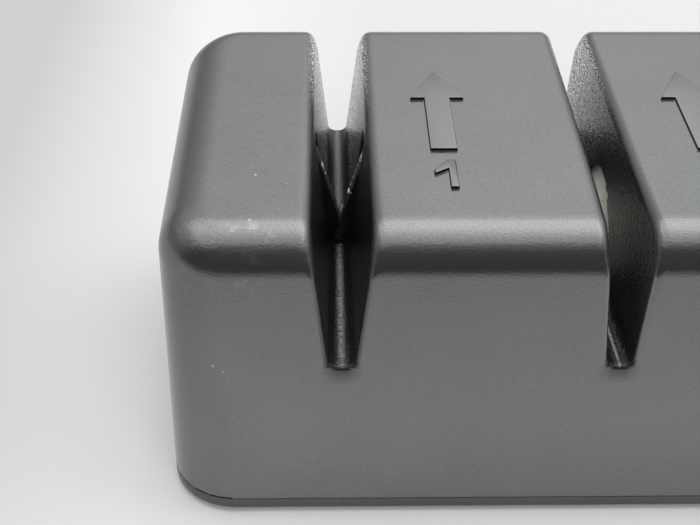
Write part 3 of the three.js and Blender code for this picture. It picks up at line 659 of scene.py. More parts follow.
def wheel_profile(side):
    corner_radius = WHEEL_RADIUS - RIM_BEVEL
    corner_along = WHEEL_HALF_SPLIT + (corner_radius - GROOVE_RADIUS) * FLANK_SLOPE
    shares = [step / FLANK_STEPS for step in range(FLANK_STEPS)]
    profile = [(lerp(GROOVE_RADIUS, corner_radius, share), lerp(WHEEL_HALF_SPLIT, corner_along, share))
               for share in shares]
    profile += [(WHEEL_RADIUS - RIM_BEVEL * far, corner_along + RIM_BEVEL * near)
                for far, near in quarter_turn(RIM_STEPS)]
    face = WHEEL_OUTER_FACE
    profile += [(WHEEL_RADIUS, lerp(corner_along + RIM_BEVEL, face, 0.5)), (WHEEL_RADIUS, face - WHEEL_EDGE),
                (WHEEL_RADIUS - WHEEL_EDGE_BULGE, face - WHEEL_EDGE_BULGE), (WHEEL_RADIUS - WHEEL_EDGE, face)]
    outer, inner = WEB_RECESS_RADII
    web = face - WEB_RECESS_DEPTH
    profile += [(outer + WEB_EDGE, face), (outer, face - WEB_EDGE), (outer, web + WEB_EDGE),
                (outer - WEB_EDGE, web), (inner + WEB_EDGE, web), (inner, web + WEB_EDGE),
                (inner, face - WEB_EDGE), (inner - WEB_EDGE, face), (WHEEL_BORE_RADIUS + WEB_EDGE, face),
                (WHEEL_BORE_RADIUS, face - WEB_EDGE), (WHEEL_BORE_RADIUS, WHEEL_HALF_SPLIT)]
    return profile if side > 0 else mirrored(profile)


def wheel(label, side):
    """A bevelled ring whose working faces have a fine grit."""
    name = f"fine_wheel_{label}"
    centre = (FINE.x, 0, AXLE_HEIGHT)
    piece = revolved(f"{name}_ring", wheel_profile(side), WHEEL_SEGMENTS, centre, "x", WHEEL_SHARP_DEGREES)
    mesh = piece.data
    places = np.empty(len(mesh.vertices) * 3)
    mesh.vertices.foreach_get("co", places)
    places = places.reshape(-1, 3)
    offset = places - np.array(centre) * METRE
    radius = np.hypot(offset[:, 1], offset[:, 2]) / METRE
    along = np.abs(offset[:, 0]) / METRE
    worked = (radius > WEB_RECESS_RADII[1]) & (along < WHEEL_OUTER_FACE - WHEEL_UNWORKED)
    random = np.random.default_rng(WHEEL_SEED + side)
    dents = np.abs(random.normal(0, WHEEL_GRIT, len(places))) * worked
    spoke = offset[:, 1:] / np.maximum(np.hypot(offset[:, 1], offset[:, 2]), TINY)[:, None]
    places[:, 1:] -= spoke * (dents * METRE)[:, None]
    mesh.vertices.foreach_set("co", places.ravel())
    mesh.update()
    return settle(piece, "fine_ceramic", ROTOR, name)


def on_axle(node):
    """The middle of a piece on the axle line, half its length, and its radius."""
    low, high = node_edges(node)
    return ((low.x + high.x) / 2, 0, AXLE_HEIGHT), (high.x - low.x) / 2, (high.z - low.z) / 2


def shaft_sleeve(node, bore, edge, slot):
    """A turned piece on the axle line, as long and as wide as its solid."""
    centre, half, outer = on_axle(node)
    profile = softened([(bore, -half), (outer, -half), (outer, half), (bore, half)], edge)
    piece = revolved(f"{node}_turned", profile, SHAFT_SEGMENTS, centre, "x")
    return settle(piece, slot, ROTOR, node)


def bush(label, side):
    node = f"fine_bush_{label}"
    centre, half, flange = on_axle(node)
    flange_end = BUSH_FLANGE_THICKNESS - half
    profile = [(SHAFT_BORE_RADIUS, -half), (flange, -half), (flange, flange_end),
               (BUSH_RADIUS, flange_end), (BUSH_RADIUS, half), (SHAFT_BORE_RADIUS, half)]
    profile = softened(profile if side > 0 else mirrored(profile), SMALL_EDGE)
    piece = revolved(f"{node}_turned", profile, SHAFT_SEGMENTS, centre, "x")
    return settle(piece, "bronze", BODY, node)


# Carbide blades

def blade(label, side):
    """A bar with a ground inner edge, a little chipped, that leans outwards from where the two cross."""
    random = np.random.default_rng(BLADE_SEED + side)
    section = [(0, -BLADE_INNER), (0, BLADE_BEVEL_DEPTH - BLADE_OUTER), (BLADE_BEVEL_WIDTH, -BLADE_OUTER),
               (BLADE_WIDTH - BLADE_CORNER, -BLADE_OUTER), (BLADE_WIDTH, BLADE_CORNER - BLADE_OUTER),
               (BLADE_WIDTH, -BLADE_INNER - BLADE_CORNER), (BLADE_WIDTH - BLADE_CORNER, -BLADE_INNER)]
    chips = np.abs(random.normal(0, CHIP_ROUGHNESS, BLADE_STATIONS))
    for place in random.integers(0, BLADE_STATIONS, CHIP_COUNT):
        width = random.integers(*CHIP_STATIONS)
        chips[place:place + width] += random.uniform(*CHIP_DEPTHS)
    rings = []
    for station in range(BLADE_STATIONS):
        down = BLADE_LENGTH * station / (BLADE_STATIONS - 1)
        ring = []
        for index, (across, y) in enumerate(section):
            out = across + (chips[station] if index < 2 else 0)
            x = BLADE_TOP_X + out * math.cos(BLADE_TILT) - down * math.sin(BLADE_TILT)
            z = BLADE_HIGH.z - out * math.sin(BLADE_TILT) - down * math.cos(BLADE_TILT)
            ring.append((COARSE.x + side * x, side * y, z))
        rings.append(ring)
    piece = lofted(f"coarse_blade_{label}_bar", rings[::-1], BLADE_SHARP_DEGREES)
    return settle(piece, "carbide", BODY, f"coarse_blade_{label}")


# Base cover, feet, screws, bosses and ribs

def outline_ring(inset, height):
    """The outline of the part at one height, drawn in by an inset, with fine steps."""
    points = []
    for far, near in quarter_turn(CORNER_STEPS):
        points.append((LEFT_END + CORNER_RADIUS * near, BLOCK_HALF_DEPTH - CORNER_RADIUS * far,
                       near - 1, 1 - far))
    for step in range(BLEND_STEPS + 1):
        x = BLEND_START + BLEND_LENGTH * step / BLEND_STEPS
        half = float(lerp(BLOCK_HALF_DEPTH, GRIP_HALF_DEPTH, blend_share(x)))
        slope = float(blend_slope(x)) * (BLOCK_HALF_DEPTH - GRIP_HALF_DEPTH)
        length = math.hypot(1, slope)
        points.append((x, half, slope / length, 1 / length))
    for far, near in quarter_turn(CORNER_STEPS):
        points.append((RIGHT_END - GRIP_END_RADIUS * far, GRIP_HALF_DEPTH - GRIP_END_RADIUS * near,
                       1 - far, 1 - near))
    points += [(x, -y, out_x, -out_y) for x, y, out_x, out_y in reversed(points)]
    ring = []
    for x, y, out_x, out_y in points:
        drawn = inset + height * (out_y ** 2 * FACE_DRAFT)
        ring.append((x - drawn * out_x, y - drawn * out_y, height))
    return ring


def lofted(name, rings, sharp_degrees=SHARP_DEGREES):
    """A closed mesh over rings of points that run the same way round, from the first ring down."""
    points = np.concatenate(rings)
    numbers = np.arange(len(points)).reshape(len(rings), -1)
    above, below = numbers[:-1], numbers[1:]
    sides = np.stack([above, below, np.roll(below, -1, axis=1), np.roll(above, -1, axis=1)], axis=2)
    faces = [*sides.reshape(-1, 4).tolist(), numbers[0].tolist(), numbers[-1, ::-1].tolist()]
    return made_mesh(name, points, faces, sharp_degrees)


def carve(piece, cutters):
    """The piece without the cutters, which are removed."""
    for cutter in cutters:
        change = piece.modifiers.new("cut", "BOOLEAN")
        change.object = cutter
        change.operation = "DIFFERENCE"
        change.solver = "EXACT"
    carved = bpy.data.meshes.new_from_object(piece.evaluated_get(bpy.context.evaluated_depsgraph_get()))
    piece.modifiers.clear()
    piece.data = carved
    carved.set_sharp_from_angle(angle=math.radians(SHARP_DEGREES))
    for cutter in cutters:
        bpy.data.objects.remove(cutter)
    return piece


def node_names(start):
    return [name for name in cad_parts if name.startswith(start)]


def base_cover():
    """A plate with a rim, holes for the screws and pockets for the feet."""
    low, high = node_edges("base_cover")
    under, over = low.z - OVERRUN, high.z + OVERRUN
    levels = [(COVER_EDGE + COVER_UNDERSIDE_INSET, low.z)]
    levels += [(COVER_EDGE * far, low.z + COVER_EDGE * near) for far, near in quarter_turn(COVER_EDGE_STEPS)]
    levels += [(0, COVER_RIM_TOP - COVER_RIM_EDGE), (COVER_RIM_BULGE, COVER_RIM_TOP - COVER_RIM_BULGE),
               (COVER_RIM_EDGE, COVER_RIM_TOP), (COVER_LIP_INSET, COVER_RIM_TOP),
               (COVER_LIP_INSET, high.z - COVER_LIP_EDGE), (COVER_LIP_INSET + COVER_LIP_EDGE, high.z)]
    piece = lofted("base_cover_plate", [outline_ring(*level) for level in reversed(levels)])
    cutters = []
    for name in node_names("base_screw"):
        head = node_size(name).x / 2 + SEAT_GAP
        head_top = node_edges(name)[0].z + BASE_HEAD[1] + SEAT_GAP
        profile = [(0, under), (head, under), (head, head_top), (SCREW_BORE_RADIUS, head_top),
                   (SCREW_BORE_RADIUS, over), (0, over)]
        cutters.append(upright("cutter", name, profile, SCREW_SEGMENTS))
    for name in node_names("foot"):
        radius = node_size(name).x / 2 + SEAT_GAP
        top = node_edges(name)[1].z + SEAT_GAP
        profile = [(0, under), (radius, under), (radius, top), (0, top)]
        cutters.append(upright("cutter", name, profile, WIDE_SEGMENTS))
    return settle(carve(piece, cutters), "cover_plastic", BODY, "base_cover")


def foot(name):
    """A round rubber foot with a shallow dish in its underside."""
    radius = node_size(name).x / 2
    top = node_edges(name)[1].z
    dish, slope, flat = (radius - inset for inset in FOOT_DISH_INSETS)
    profile = [(0, FOOT_DISH_DEPTH), (dish, FOOT_DISH_DEPTH), (slope, FOOT_DISH_STEP), (flat, 0),
               (radius - FOOT_EDGE, 0), (radius - FOOT_EDGE_BULGE, FOOT_EDGE_BULGE), (radius, FOOT_EDGE),
               (radius, top - FOOT_TOP_EDGE), (radius - FOOT_TOP_EDGE, top), (0, top)]
    return settle(upright(f"{name}_pad", name, profile, WIDE_SEGMENTS), "foot_rubber", BODY, name)


def drive_cutter():
    """The cross of a screw's drive, a little narrower at its foot, standing on the plane of the head."""
    reach, half = DRIVE_REACH, DRIVE_WIDTH / 2
    arm = [(reach, -half), (reach, half), (half, half)]
    cross = []
    for _ in range(4):
        cross += arm
        arm = [(-y, x) for x, y in arm]
    levels = ((DRIVE_TAPER, DRIVE_DEPTH), (0, 0), (0, -OVERRUN))
    return lofted("cutter", [level_ring(cross, *level) for level in levels])


def screw(name, head_radius, head_thickness, along="z"):
    """A pan-head screw with a cross drive and a grooved shank, as long as its solid."""
    low, high = node_edges(name)
    length = (high - low)[1 if along == "y" else 2]
    profile = [(0, 0), (head_radius - HEAD_ROUNDING, 0)]
    profile += [(head_radius - HEAD_ROUNDING * far, HEAD_ROUNDING * near)
                for far, near in quarter_turn(HEAD_STEPS)[1:]]
    profile += [(head_radius, head_thickness - HEAD_EDGE), (head_radius - HEAD_EDGE, head_thickness),
                (SCREW_RADIUS, head_thickness)]
    place = head_thickness + THREAD_PITCH
    while place < length - THREAD_PITCH * THREAD_END_SHARE:
        profile += [(SCREW_RADIUS, place),
                    (SCREW_RADIUS - THREAD_DEPTH, place + THREAD_PITCH * THREAD_FOOT_SHARE),
                    (SCREW_RADIUS, place + THREAD_PITCH * THREAD_TOP_SHARE)]
        place += THREAD_PITCH
    profile += [(SCREW_RADIUS, length - TIP_LENGTH), (SCREW_RADIUS - TIP_INSET, length), (0, length)]
    piece = carve(revolved(f"{name}_turned", profile, SCREW_SEGMENTS, (0, 0, 0), "z"), [drive_cutter()])
    middle = (low + high) / 2
    if along == "y":
        turn = Matrix.Rotation(math.radians(90), 4, "X")
        shift = Vector((middle.x, high.y, middle.z))
    else:
        turn = Matrix.Identity(4)
        shift = Vector((middle.x, middle.y, low.z))
    piece.data.transform(Matrix.Translation(shift * METRE) @ turn)
    return settle(piece, "steel", BODY, name)


def ceiling_middle(x):
    """The middle of the wall over the hollow, and of its rounding at the sides."""
    share = float(blend_share(np.array(x)))
    height = lerp(BLOCK_TOP, GRIP_TOP, share) - WALL / 2
    return height, lerp(BLOCK_EDGE_RADIUS, GRIP_EDGE_RADIUS, share) - WALL / 2


def boss(name, radius, bottom, top):
    """A round post with a screw bore, standing down from the housing around one screw."""
    bore_top = node_edges(name)[1].z + SEAT_GAP
    profile = [(0, bore_top), (SCREW_BORE_RADIUS, bore_top), (SCREW_BORE_RADIUS, bottom + BORE_EDGE),
               (SCREW_BORE_RADIUS + BORE_EDGE, bottom), (radius - BOSS_EDGE, bottom),
               (radius, bottom + BOSS_EDGE), (radius, top - BOSS_TOP_BEVEL), (radius - BOSS_TOP_BEVEL, top),
               (0, top)]
    return settle(upright(f"{name}_boss", name, profile, BOSS_SEGMENTS), "housing_plastic", BODY)


def rib(index, x):
    """A cross rib under the ceiling of the grip."""
    top, radius = ceiling_middle(x)
    side = lerp(BLOCK_HALF_DEPTH, GRIP_HALF_DEPTH, float(blend_share(np.array(x)))) - WALL / 2
    right = []
    for height in np.concatenate([[RIB_BOTTOM], np.linspace(top - radius, top, RIB_ARC_POINTS)]):
        half = side - height * FACE_DRAFT
        lean = max(0.0, height - top + radius)
        right.append((half - radius + math.sqrt(max(0.0, radius ** 2 - lean ** 2)), height))
    outline = right + [(-y, z) for y, z in reversed(right)]
    half = RIB_THICKNESS / 2
    rings = []
    for along, inset in ((-half, RIB_EDGE), (RIB_EDGE - half, 0), (half - RIB_EDGE, 0), (half, RIB_EDGE)):
        rings.append([(x + along, y, z) for y, z in drawn_in(outline, inset).tolist()])
    return settle(lofted(f"grip_rib_{index}", rings), "housing_plastic", BODY)


def soften_solid(name):
    """The sharp edges of a solid that the scene shows as it is, lightly rounded."""
    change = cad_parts[name].modifiers.new("soft_edges", "BEVEL")
    change.width = SOLID_EDGE * METRE
    change.segments = 2
    change.limit_method = "ANGLE"
    change.angle_limit = math.radians(TURNED_SHARP_DEGREES)


# Materials

class Nodes:
    """The nodes of a material or a world, with a short call for each kind that is used."""

    def __init__(self, owner, shader, place):
        owner.use_nodes = True
        self.tree = owner.node_tree
        self.shader = self.tree.nodes[shader]
        self.place = self.made("TexCoord", place, {})

    def link(self, source, socket):
        if isinstance(source, bpy.types.NodeSocket):
            self.tree.links.new(source, socket)
        else:
            socket.default_value = source

    def set(self, socket, value):
        self.link(value, self.shader.inputs[socket])

    def made(self, kind, output, inputs, **settings):
        """An output of a new node, whose inputs get a link or a plain value each."""
        node = self.tree.nodes.new("ShaderNode" + kind)
        for key, value in settings.items():
            setattr(node, key, value)
        for socket, value in inputs.items():
            self.link(value, node.inputs[socket])
        return node.outputs[output]

    def axis(self, letter):
        return self.made("SeparateXYZ", letter, {0: self.place})

    def spread(self, value, low, high, to_low=0.0, to_high=1.0):
        ends = {"From Min": low, "From Max": high, "To Min": to_low, "To Max": to_high}
        return self.made("MapRange", "Result", {"Value": value, **ends}, clamp=True)

    def maths(self, operation, a, b=0.0):
        return self.made("Math", 0, {0: a, 1: b}, operation=operation)

    def product(self, *values):
        result = values[0]
        for value in values[1:]:
            result = self.maths("MULTIPLY", result, value)
        return result


class Look(Nodes):
    """A material being built."""

    def __init__(self, name, **values):
        self.material = bpy.data.materials.new(name)
        super().__init__(self.material, "Principled BSDF", "Object")
        for socket, value in values.items():
            self.set(socket.replace("_", " "), value)

    def noise(self, size, detail=2.0, roughness=0.5, place=None):
        """Noise whose features are about the given size in millimetres."""
        inputs = {"Scale": 1 / (size * METRE), "Detail": detail, "Roughness": roughness}
        return self.made("TexNoise", "Fac", {"Vector": place or self.place, **inputs})

    def cells(self, size):
        """The distance to the nearest of many points, about the given millimetres apart."""
        return self.made("TexVoronoi", "Distance", {"Vector": self.place, "Scale": 1 / (size * METRE)})

    def stretched(self, x, y, z, place=None):
        return self.made("Mapping", "Vector", {"Vector": place or self.place, "Scale": (x, y, z)})

    def ramp(self, letter, start, end, to_start=0.0, to_end=1.0):
        """A change along one axis, between two places in millimetres."""
        return self.spread(self.axis(letter), start * METRE, end * METRE, to_start, to_end)

    def mixed(self, factor, first, second):
        return self.made("Mix", 2, {"Factor": factor, 6: first, 7: second}, data_type="RGBA")

    def bump(self, height, depth):
        """Relief as deep as the given number of millimetres."""
        relief = {"Strength": 1.0, "Distance": depth * METRE, "Height": height}
        self.set("Normal", self.made("Bump", "Normal", relief))

    def surface(self, cloud, dark, light, grain, roughness, depth):
        """The material: a cloud takes its colour from dark to light, a grain its roughness and relief."""
        self.set("Base Color", self.mixed(cloud, linear(*dark), linear(*light)))
        self.set("Roughness", self.spread(grain, *NOISE_RANGE, *roughness))
        self.bump(grain, depth)
        return self.material


def linear(red, green, blue):
    """A colour written as 0 to 255 screen values, for a shader socket."""
    values = []
    for level in (red, green, blue):
        share = level / 255
        values.append(share / 12.92 if share <= 0.04045 else ((share + 0.055) / 1.055) ** 2.4)
    return (*values, 1.0)


def slot_height(look):
    """The height, less the rise of the slots' floors towards the front face."""
    ahead = look.ramp("Y", 0, -BLOCK_HALF_DEPTH)
    rise = look.product(look.maths("POWER", ahead, 3.0), SLOT_FLOOR_RISE * METRE)
    return look.maths("SUBTRACT", look.axis("Z"), rise)


def from_slot(look, slot):
    """The distance to either side of a slot's middle."""
    return look.maths("ABSOLUTE", look.maths("SUBTRACT", look.axis("X"), slot.x * METRE))


def over_floor(look, start, end):
    """A change between two heights over the slots' floors."""
    return look.spread(slot_height(look), (SLOT_FLOOR + start) * METRE, (SLOT_FLOOR + end) * METRE)


def in_slots(look):
    """1 between the walls of either slot, 0 on the faces beside it."""
    height = slot_height(look)
    inside = []
    for slot, (outer, inner) in ((COARSE, COARSE_BESIDE), (FINE, FINE_BESIDE)):
        half = look.spread(height, SLOT_FLOOR * METRE, BLOCK_TOP * METRE,
                           slot.floor * METRE, slot.top * METRE)
        beside = look.maths("SUBTRACT", from_slot(look, slot), half)
        inside.append(look.spread(beside, outer * METRE, inner * METRE))
    return look.product(look.maths("ADD", *inside), over_floor(look, *OVER_FLOOR))


def floor_line(look):
    """1 along the middle of the slots' floors, where a highlight is painted, 0 beside it."""
    speckled = look.spread(look.noise(0.2, 2.0, 0.7), 0.4, 0.62, 0.15, 1.0)
    broken = look.maths("MAXIMUM", look.ramp("Y", *LINE_BEHIND, 0.0, 0.9), speckled)
    lines = []
    for slot, reach, strength in ((COARSE, COARSE_LINE_REACH, broken), (FINE, FINE_LINE_REACH, 1.0)):
        lines.append(look.product(look.spread(from_slot(look, slot), reach * METRE, 0.0), strength))
    heights = [over_floor(look, *ends) for ends in (LINE_TOP, LINE_BOTTOM)]
    return look.product(look.maths("ADD", *lines), *heights)


def below_slots(look):
    """1 where shade is painted under the front end of each slot, 0 farther away."""
    outer, inner = BELOW_SLOT_SHADE_BESIDE
    spots = [look.spread(from_slot(look, slot), outer * METRE, inner * METRE) for slot in SLOTS]
    end = SLOT_FLOOR + SLOT_FLOOR_RISE
    under = [look.ramp("Z", end + low, end + high) for low, high in (BELOW_SLOT_SHADE_BOTTOM, BELOW_SLOT_SHADE_TOP)]
    return look.product(look.maths("ADD", *spots), *under, look.ramp("Y", *BELOW_SLOT_SHADE_FRONT))


def mark_walls(look):
    """1 on the sides of the raised marks, where shade is painted, 0 on their tops and on the block."""
    ends = [(BLOCK_TOP + start, BLOCK_TOP + end) for start, end in MARK_WALL_HEIGHTS]
    return look.product(*(look.ramp("Z", *heights) for heights in ends))


def wall_glints(look, far_wall_light):
    """1 on painted glints, a bright grain of painted highlights on the slots' far walls, drawn out along the
    first slot.
    """
    turned = look.made("VectorRotate", "Vector", {"Vector": look.place, "Angle": GLINT_TURN},
                       rotation_type="X_AXIS")
    glints = []
    for length_share in GLINT_LENGTH_SHARES:
        place = look.stretched(1.0, length_share, 1.0, turned)
        glints.append(look.spread(look.noise(0.21, 1.0, 0.5, place), 0.5, 0.58))
    return look.product(look.mixed(look.ramp("X", *BETWEEN_SLOTS), *glints), far_wall_light)


def dust_and_smudges(look):
    """1 on specks of dust on the left block, and faint smudges along its front edge."""
    left = look.ramp("X", *LEFT_BLOCK)
    specks = look.spread(look.cells(2.3), 0.10, 0.045)
    patches = look.spread(look.noise(12.0, 1.0), 0.5, 0.62)
    dust = look.product(specks, look.ramp("X", *BESIDE_LEFT_END), patches, left)
    smudges = look.spread(look.noise(1.3, 3.0, 0.6), 0.55, 0.72)
    edge = look.product(look.ramp("Y", *FRONT_EDGE), look.ramp("Z", *FRONT_EDGE_HEIGHT))
    return look.maths("MAXIMUM", dust, look.product(smudges, edge, left, 0.13))


def housing_plastic():
    look = Look("housing_plastic")
    inside = in_slots(look)
    look.set("Metallic", look.spread(inside, 0, 1, 0.85, 0.4))
    fine_grain = look.spread(look.noise(0.26, 2.0, 0.6), *NOISE_RANGE)
    wall_grain = look.spread(look.noise(0.42, 2.0, 0.6), *NOISE_RANGE)
    shade = look.mixed(look.noise(9.0, 3.0, 0.5), linear(108, 109, 110), linear(118, 119, 119))
    shade = look.mixed(look.product(fine_grain, 0.38), shade, linear(136, 137, 137))
    # Painted shade and light: the slots' walls are painted dark, and painted lighter towards their far ends
    # and up from the floor.
    far_wall_light = look.product(look.ramp("Y", *BACK_WALL), over_floor(look, *BACK_WALL_OVER_FLOOR))
    shade = look.mixed(inside, shade, look.mixed(far_wall_light, linear(40, 41, 44), linear(88, 89, 92)))
    # Painted glints on the slots' far walls.
    shade = look.mixed(look.product(wall_glints(look, far_wall_light), inside), shade, linear(246, 246, 246))
    # Painted highlight along the middle of the slots' floors, fainter towards the front.
    painted_floor_highlight = look.product(floor_line(look), look.ramp("Y", *LINE_AHEAD, 0.35, 1.0))
    shade = look.mixed(painted_floor_highlight, shade, linear(186, 186, 185))
    # Painted shade on the sides of the raised marks.
    shade = look.mixed(mark_walls(look), shade, linear(30, 30, 31))
    # Painted shade under the front end of each slot.
    shade = look.mixed(look.product(below_slots(look), 0.6), shade, linear(50, 50, 51))
    dust = dust_and_smudges(look)
    look.set("Base Color", look.mixed(dust, shade, linear(205, 205, 200)))
    roughness = look.spread(fine_grain, 0, 1, 0.16, 0.23)
    look.set("Roughness", look.maths("ADD", roughness, look.product(dust, 0.3)))
    grain = look.mixed(inside, fine_grain, wall_grain)
    look.bump(look.product(grain, look.spread(inside, 0, 1, 0.12, 1.0)), 0.08)
    return look.material


def cover_plastic():
    look = Look("cover_plastic", Metallic=0.85)
    return look.surface(look.noise(7.0, 3.0), (88, 89, 90), (98, 99, 100),
                        look.noise(0.22, 2.0, 0.6), (0.2, 0.3), 0.013)


def inner_plastic():
    look = Look("inner_plastic")
    return look.surface(look.noise(5.0, 2.0), (34, 35, 38), (42, 43, 46),
                        look.noise(0.5, 2.0, 0.5), (0.38, 0.52), 0.012)


def hub_plastic():
    look = Look("hub_plastic")
    return look.surface(look.noise(3.0, 2.0), (134, 137, 141), (146, 149, 153),
                        look.noise(0.4, 2.0, 0.5), (0.4, 0.5), 0.01)


def foot_rubber():
    look = Look("foot_rubber")
    return look.surface(look.noise(2.0, 3.0), (24, 24, 25), (38, 38, 38),
                        look.noise(0.22, 3.0, 0.7), (0.75, 0.92), 0.03)


def steel():
    look = Look("steel", Metallic=1.0)
    turned = look.noise(0.12, 2.0, 0.6, look.stretched(1.0, 0.15, 0.15))
    return look.surface(look.noise(1.5, 2.0), (168, 170, 173), (190, 192, 194), turned, (0.22, 0.36), 0.004)


def bronze():
    look = Look("bronze", Metallic=1.0)
    return look.surface(look.noise(1.2, 2.0), (140, 104, 52), (172, 132, 72),
                        look.noise(0.15, 3.0, 0.7), (0.35, 0.55), 0.008)


def carbide():
    """Dark ground carbide, lighter along the broken inner edge, partly for its grinding and partly as a
    painted highlight, and in a few painted glints.
    """
    look = Look("carbide", Metallic=0.9)
    ground = look.noise(0.08, 2.0, 0.6, look.stretched(1.0, 1.0, 0.08))
    glint = look.spread(look.noise(0.22, 2.0, 0.7), 0.66, 0.72)
    beside = look.maths("SUBTRACT", from_slot(look, COARSE), BLADE_TOP_X * METRE)
    below = look.maths("SUBTRACT", BLADE_HIGH.z * METRE, look.axis("Z"))
    from_edge = look.maths("ADD", look.product(beside, math.cos(BLADE_TILT)),
                           look.product(below, math.sin(BLADE_TILT)))
    ground_edge_highlight = look.spread(from_edge, *(place * METRE for place in BLADE_GROUND_EDGE_HIGHLIGHT))
    broken = look.spread(look.noise(0.5, 2.0, 0.6), 0.38, 0.5, 0.35, 1.0)
    # Painted highlight along the ground inner edge, and painted glints.
    bright = look.maths("MAXIMUM", glint, look.product(ground_edge_highlight, broken))
    return look.surface(bright, (84, 86, 90), (188, 189, 191), ground, (0.22, 0.38), 0.005)


def fine_ceramic():
    look = Look("fine_ceramic")
    stain = look.spread(look.noise(1.6, 3.0, 0.6), 0.55, 0.75, 0.0, 0.5)
    return look.surface(stain, (236, 234, 228), (176, 175, 172),
                        look.noise(0.14, 2.0, 0.6), (0.32, 0.45), 0.008)


def floor_material():
    """Pale grey, painted darker past the left end and far in front, painted lighter close to the part's front
    to lift its shadow, and painted dark far in front for glossy rays only, as a painted reflection.
    """
    look = Look("floor", Roughness=0.9, Specular_IOR_Level=0.2)
    # Painted shade and light: darker past the left end, lighter beside the block, and darker far in front.
    shade = look.mixed(look.ramp("X", *FLOOR_PAST_END), linear(174, 174, 174), linear(211, 211, 210))
    shade = look.mixed(look.ramp("X", *FLOOR_BESIDE_BLOCK), shade, linear(204, 204, 203))
    ahead = look.ramp("Y", *FLOOR_AHEAD)
    front = look.mixed(look.ramp("X", *FLOOR_AHEAD_OF_BLOCK), linear(170, 170, 170), linear(188, 188, 188))
    shade = look.mixed(ahead, shade, front)
    # Painted dark reflection: glossy rays see the floor far in front dark.
    glossy_ray = look.made("LightPath", "Is Glossy Ray", {})
    dark_reflection_far_front = look.product(look.ramp("Y", *FLOOR_MIRRORED), glossy_ray)
    shade = look.mixed(dark_reflection_far_front, shade, linear(60, 60, 60))
    # Painted light near the part's front, which lifts its shadow there.
    near = look.product(look.ramp("Y", *FLOOR_AT_FRONT), look.ramp("X", *FLOOR_AT_FRONT_END),
                        look.spread(ahead, 0.4, 0.0))
    shade = look.mixed(near, shade, linear(230, 230, 229))
    speckle = look.spread(look.noise(60.0, 2.0), *NOISE_RANGE, 0.0, 0.08)
    look.set("Base Color", look.mixed(speckle, shade, linear(200, 200, 200)))
    return look.material


LOOKS = {make.__name__: make() for make in (
    housing_plastic, cover_plastic, inner_plastic, hub_plastic, foot_rubber, steel, bronze,
    carbide, fine_ceramic)}


def dress_nodes():
    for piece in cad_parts.values():
        for slot in piece.material_slots:
            base = slot.material.name.split(".")[0]
            if base in LOOKS:
                slot.material = LOOKS[base]


# Stage

def sheet(name, corners, material):
    mesh = bpy.data.meshes.new(name)
    mesh.from_pydata(corners, [], [(0, 1, 2, 3)])
    mesh.materials.append(material)
    piece = bpy.data.objects.new(name, mesh)
    bpy.context.scene.collection.objects.link(piece)
    return piece


def rectangle(left, bottom, right, top):
    return [(left, bottom), (right, bottom), (right, top), (left, top)]


def add_floor():
    corners = rectangle(-FLOOR_REACH, -FLOOR_REACH, FLOOR_REACH, FLOOR_REACH)
    return sheet("floor", [(x, y, 0) for x, y in corners], floor_material())


def add_dark_card():
    """A black card between the camera and the sharpener, which shows only in the gloss: a painted dark
    reflection in place of the shade in front.
    """
    look = Look("black_card", Roughness=0.9, Specular_IOR_Level=0.0)
    look.set("Base Color", look.mixed(look.noise(40.0), linear(12, 12, 13), linear(18, 18, 19)))
    corners = rectangle(-CARD_REACH, 0, CARD_REACH, CARD_TOP)
    card = sheet("black_card", [(x, CARD_PLACE, z) for x, z in corners], look.material)
    card.visible_camera = False
    card.visible_shadow = False
    card.visible_diffuse = False
    return card


def area_lamp(name, size, radiance, place, tilt=0):
    """A rectangular lamp that shines down, or ahead by its tilt in degrees."""
    light = bpy.data.lights.new(name, "AREA")
    light.shape = "RECTANGLE"
    light.size, light.size_y = size
    light.energy = 4 * light.size * light.size_y * radiance
    lamp = bpy.data.objects.new(name, light)
    lamp.location = place
    lamp.rotation_euler = (math.radians(tilt), 0, 0)
    bpy.context.scene.collection.objects.link(lamp)
    return lamp


def add_lamps():
    """A softbox overhead, and a lamp in front that lifts the floor's shadow and isn't mirrored."""
    area_lamp("softbox", SOFTBOX_SIZE, SOFTBOX_RADIANCE, SOFTBOX_PLACE)
    fill = area_lamp("front_fill", FILL_SIZE, FILL_RADIANCE, FILL_PLACE, FILL_TILT)
    fill.visible_glossy = False


def add_world():
    """A white studio whose strength is the product of a ramp along each axis."""
    world = bpy.data.worlds.new("studio")
    bpy.context.scene.world = world
    nodes = Nodes(world, "Background", "Generated")
    ramps = [nodes.spread(nodes.axis(letter), *ends) for letter, *ends in WORLD_RAMPS]
    nodes.set("Strength", nodes.product(*ramps))
    nodes.set("Color", (1, 1, 1, 1))


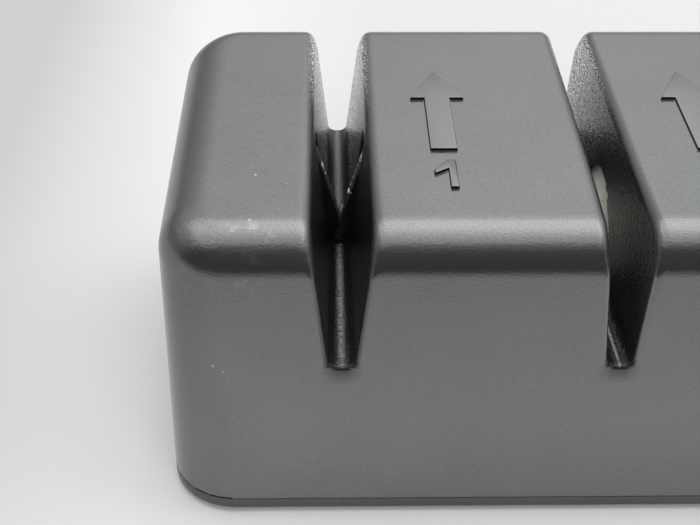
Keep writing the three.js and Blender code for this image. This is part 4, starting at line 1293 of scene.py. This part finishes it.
def add_camera():
    pitch, yaw, roll = (math.radians(angle) for angle in (CAMERA_PITCH, CAMERA_YAW, CAMERA_ROLL))
    forward = Vector((math.sin(yaw) * math.cos(pitch), math.cos(yaw) * math.cos(pitch), -math.sin(pitch)))
    level = Vector((math.cos(yaw), -math.sin(yaw), 0))
    upright = level.cross(forward)
    right = level * math.cos(roll) + upright * math.sin(roll)
    top = upright * math.cos(roll) - level * math.sin(roll)
    camera = bpy.data.cameras.new("camera")
    camera.sensor_width = SENSOR_WIDTH
    camera.lens = SENSOR_WIDTH * FOCAL_PIXELS / PHOTO_WIDTH
    camera.clip_start = NEAREST_SEEN
    piece = bpy.data.objects.new("camera", camera)
    matrix = Matrix((right, top, -forward)).transposed().to_4x4()
    matrix.translation = Vector(CAMERA_PLACE)
    piece.matrix_world = matrix
    bpy.context.scene.collection.objects.link(piece)
    bpy.context.scene.camera = piece


add_camera()
add_floor()
add_dark_card()
add_lamps()
add_world()
bpy.context.scene.view_settings.view_transform = "Standard"

dress_nodes()
housing_skin()
for slot, label in zip(SLOTS, ("first", "second")):
    raised_mark(f"{label}_arrow", arrow_outline(slot))
raised_mark("figure_one", figure_one_outline(COARSE))
raised_mark("figure_two", figure_two_outline(FINE))
for side, label in ((-1, "left"), (1, "right")):
    blade(label, side)
    wheel(label, side)
    bush(label, side)
    shaft_sleeve(f"fine_washer_{label}", SHAFT_BORE_RADIUS, SMALL_EDGE, "steel")
    shaft_sleeve(f"fine_clip_{label}", SHAFT_BORE_RADIUS, SMALL_EDGE, "steel")
    screw(f"coarse_clamp_screw_{label}", *CLAMP_HEAD, along="y")
shaft_sleeve("fine_axle", 0, SHAFT_EDGE, "steel")
shaft_sleeve("fine_hub", SHAFT_BORE_RADIUS, SHAFT_EDGE, "hub_plastic")
base_cover()
for name in node_names("foot"):
    foot(name)
base_boss_bottom = node_edges("base_cover")[1].z + SEAT_GAP
for name in node_names("base_screw"):
    screw(name, *BASE_HEAD)
    boss(name, BASE_BOSS_RADIUS, base_boss_bottom, ceiling_middle(node_middle(name).x)[0])
slot_floor_middle = SLOT_FLOOR - SLOT_FLOOR_THICKNESS / 2
for name in node_names("coarse_holder_screw") + node_names("fine_cradle_screw"):
    screw(name, *CRADLE_HEAD)
    boss(name, CRADLE_BOSS_RADIUS, CRADLE_BOSS_BOTTOM, slot_floor_middle)
grip_screws = [node_middle(name).x for name in ("base_screw_grip_inner", "base_screw_grip_end")]
for index, share in enumerate(RIB_SHARES):
    rib(index, lerp(*grip_screws, share))
for name in ("coarse_holder", "coarse_clamp", "fine_cradle"):
    soften_solid(name)
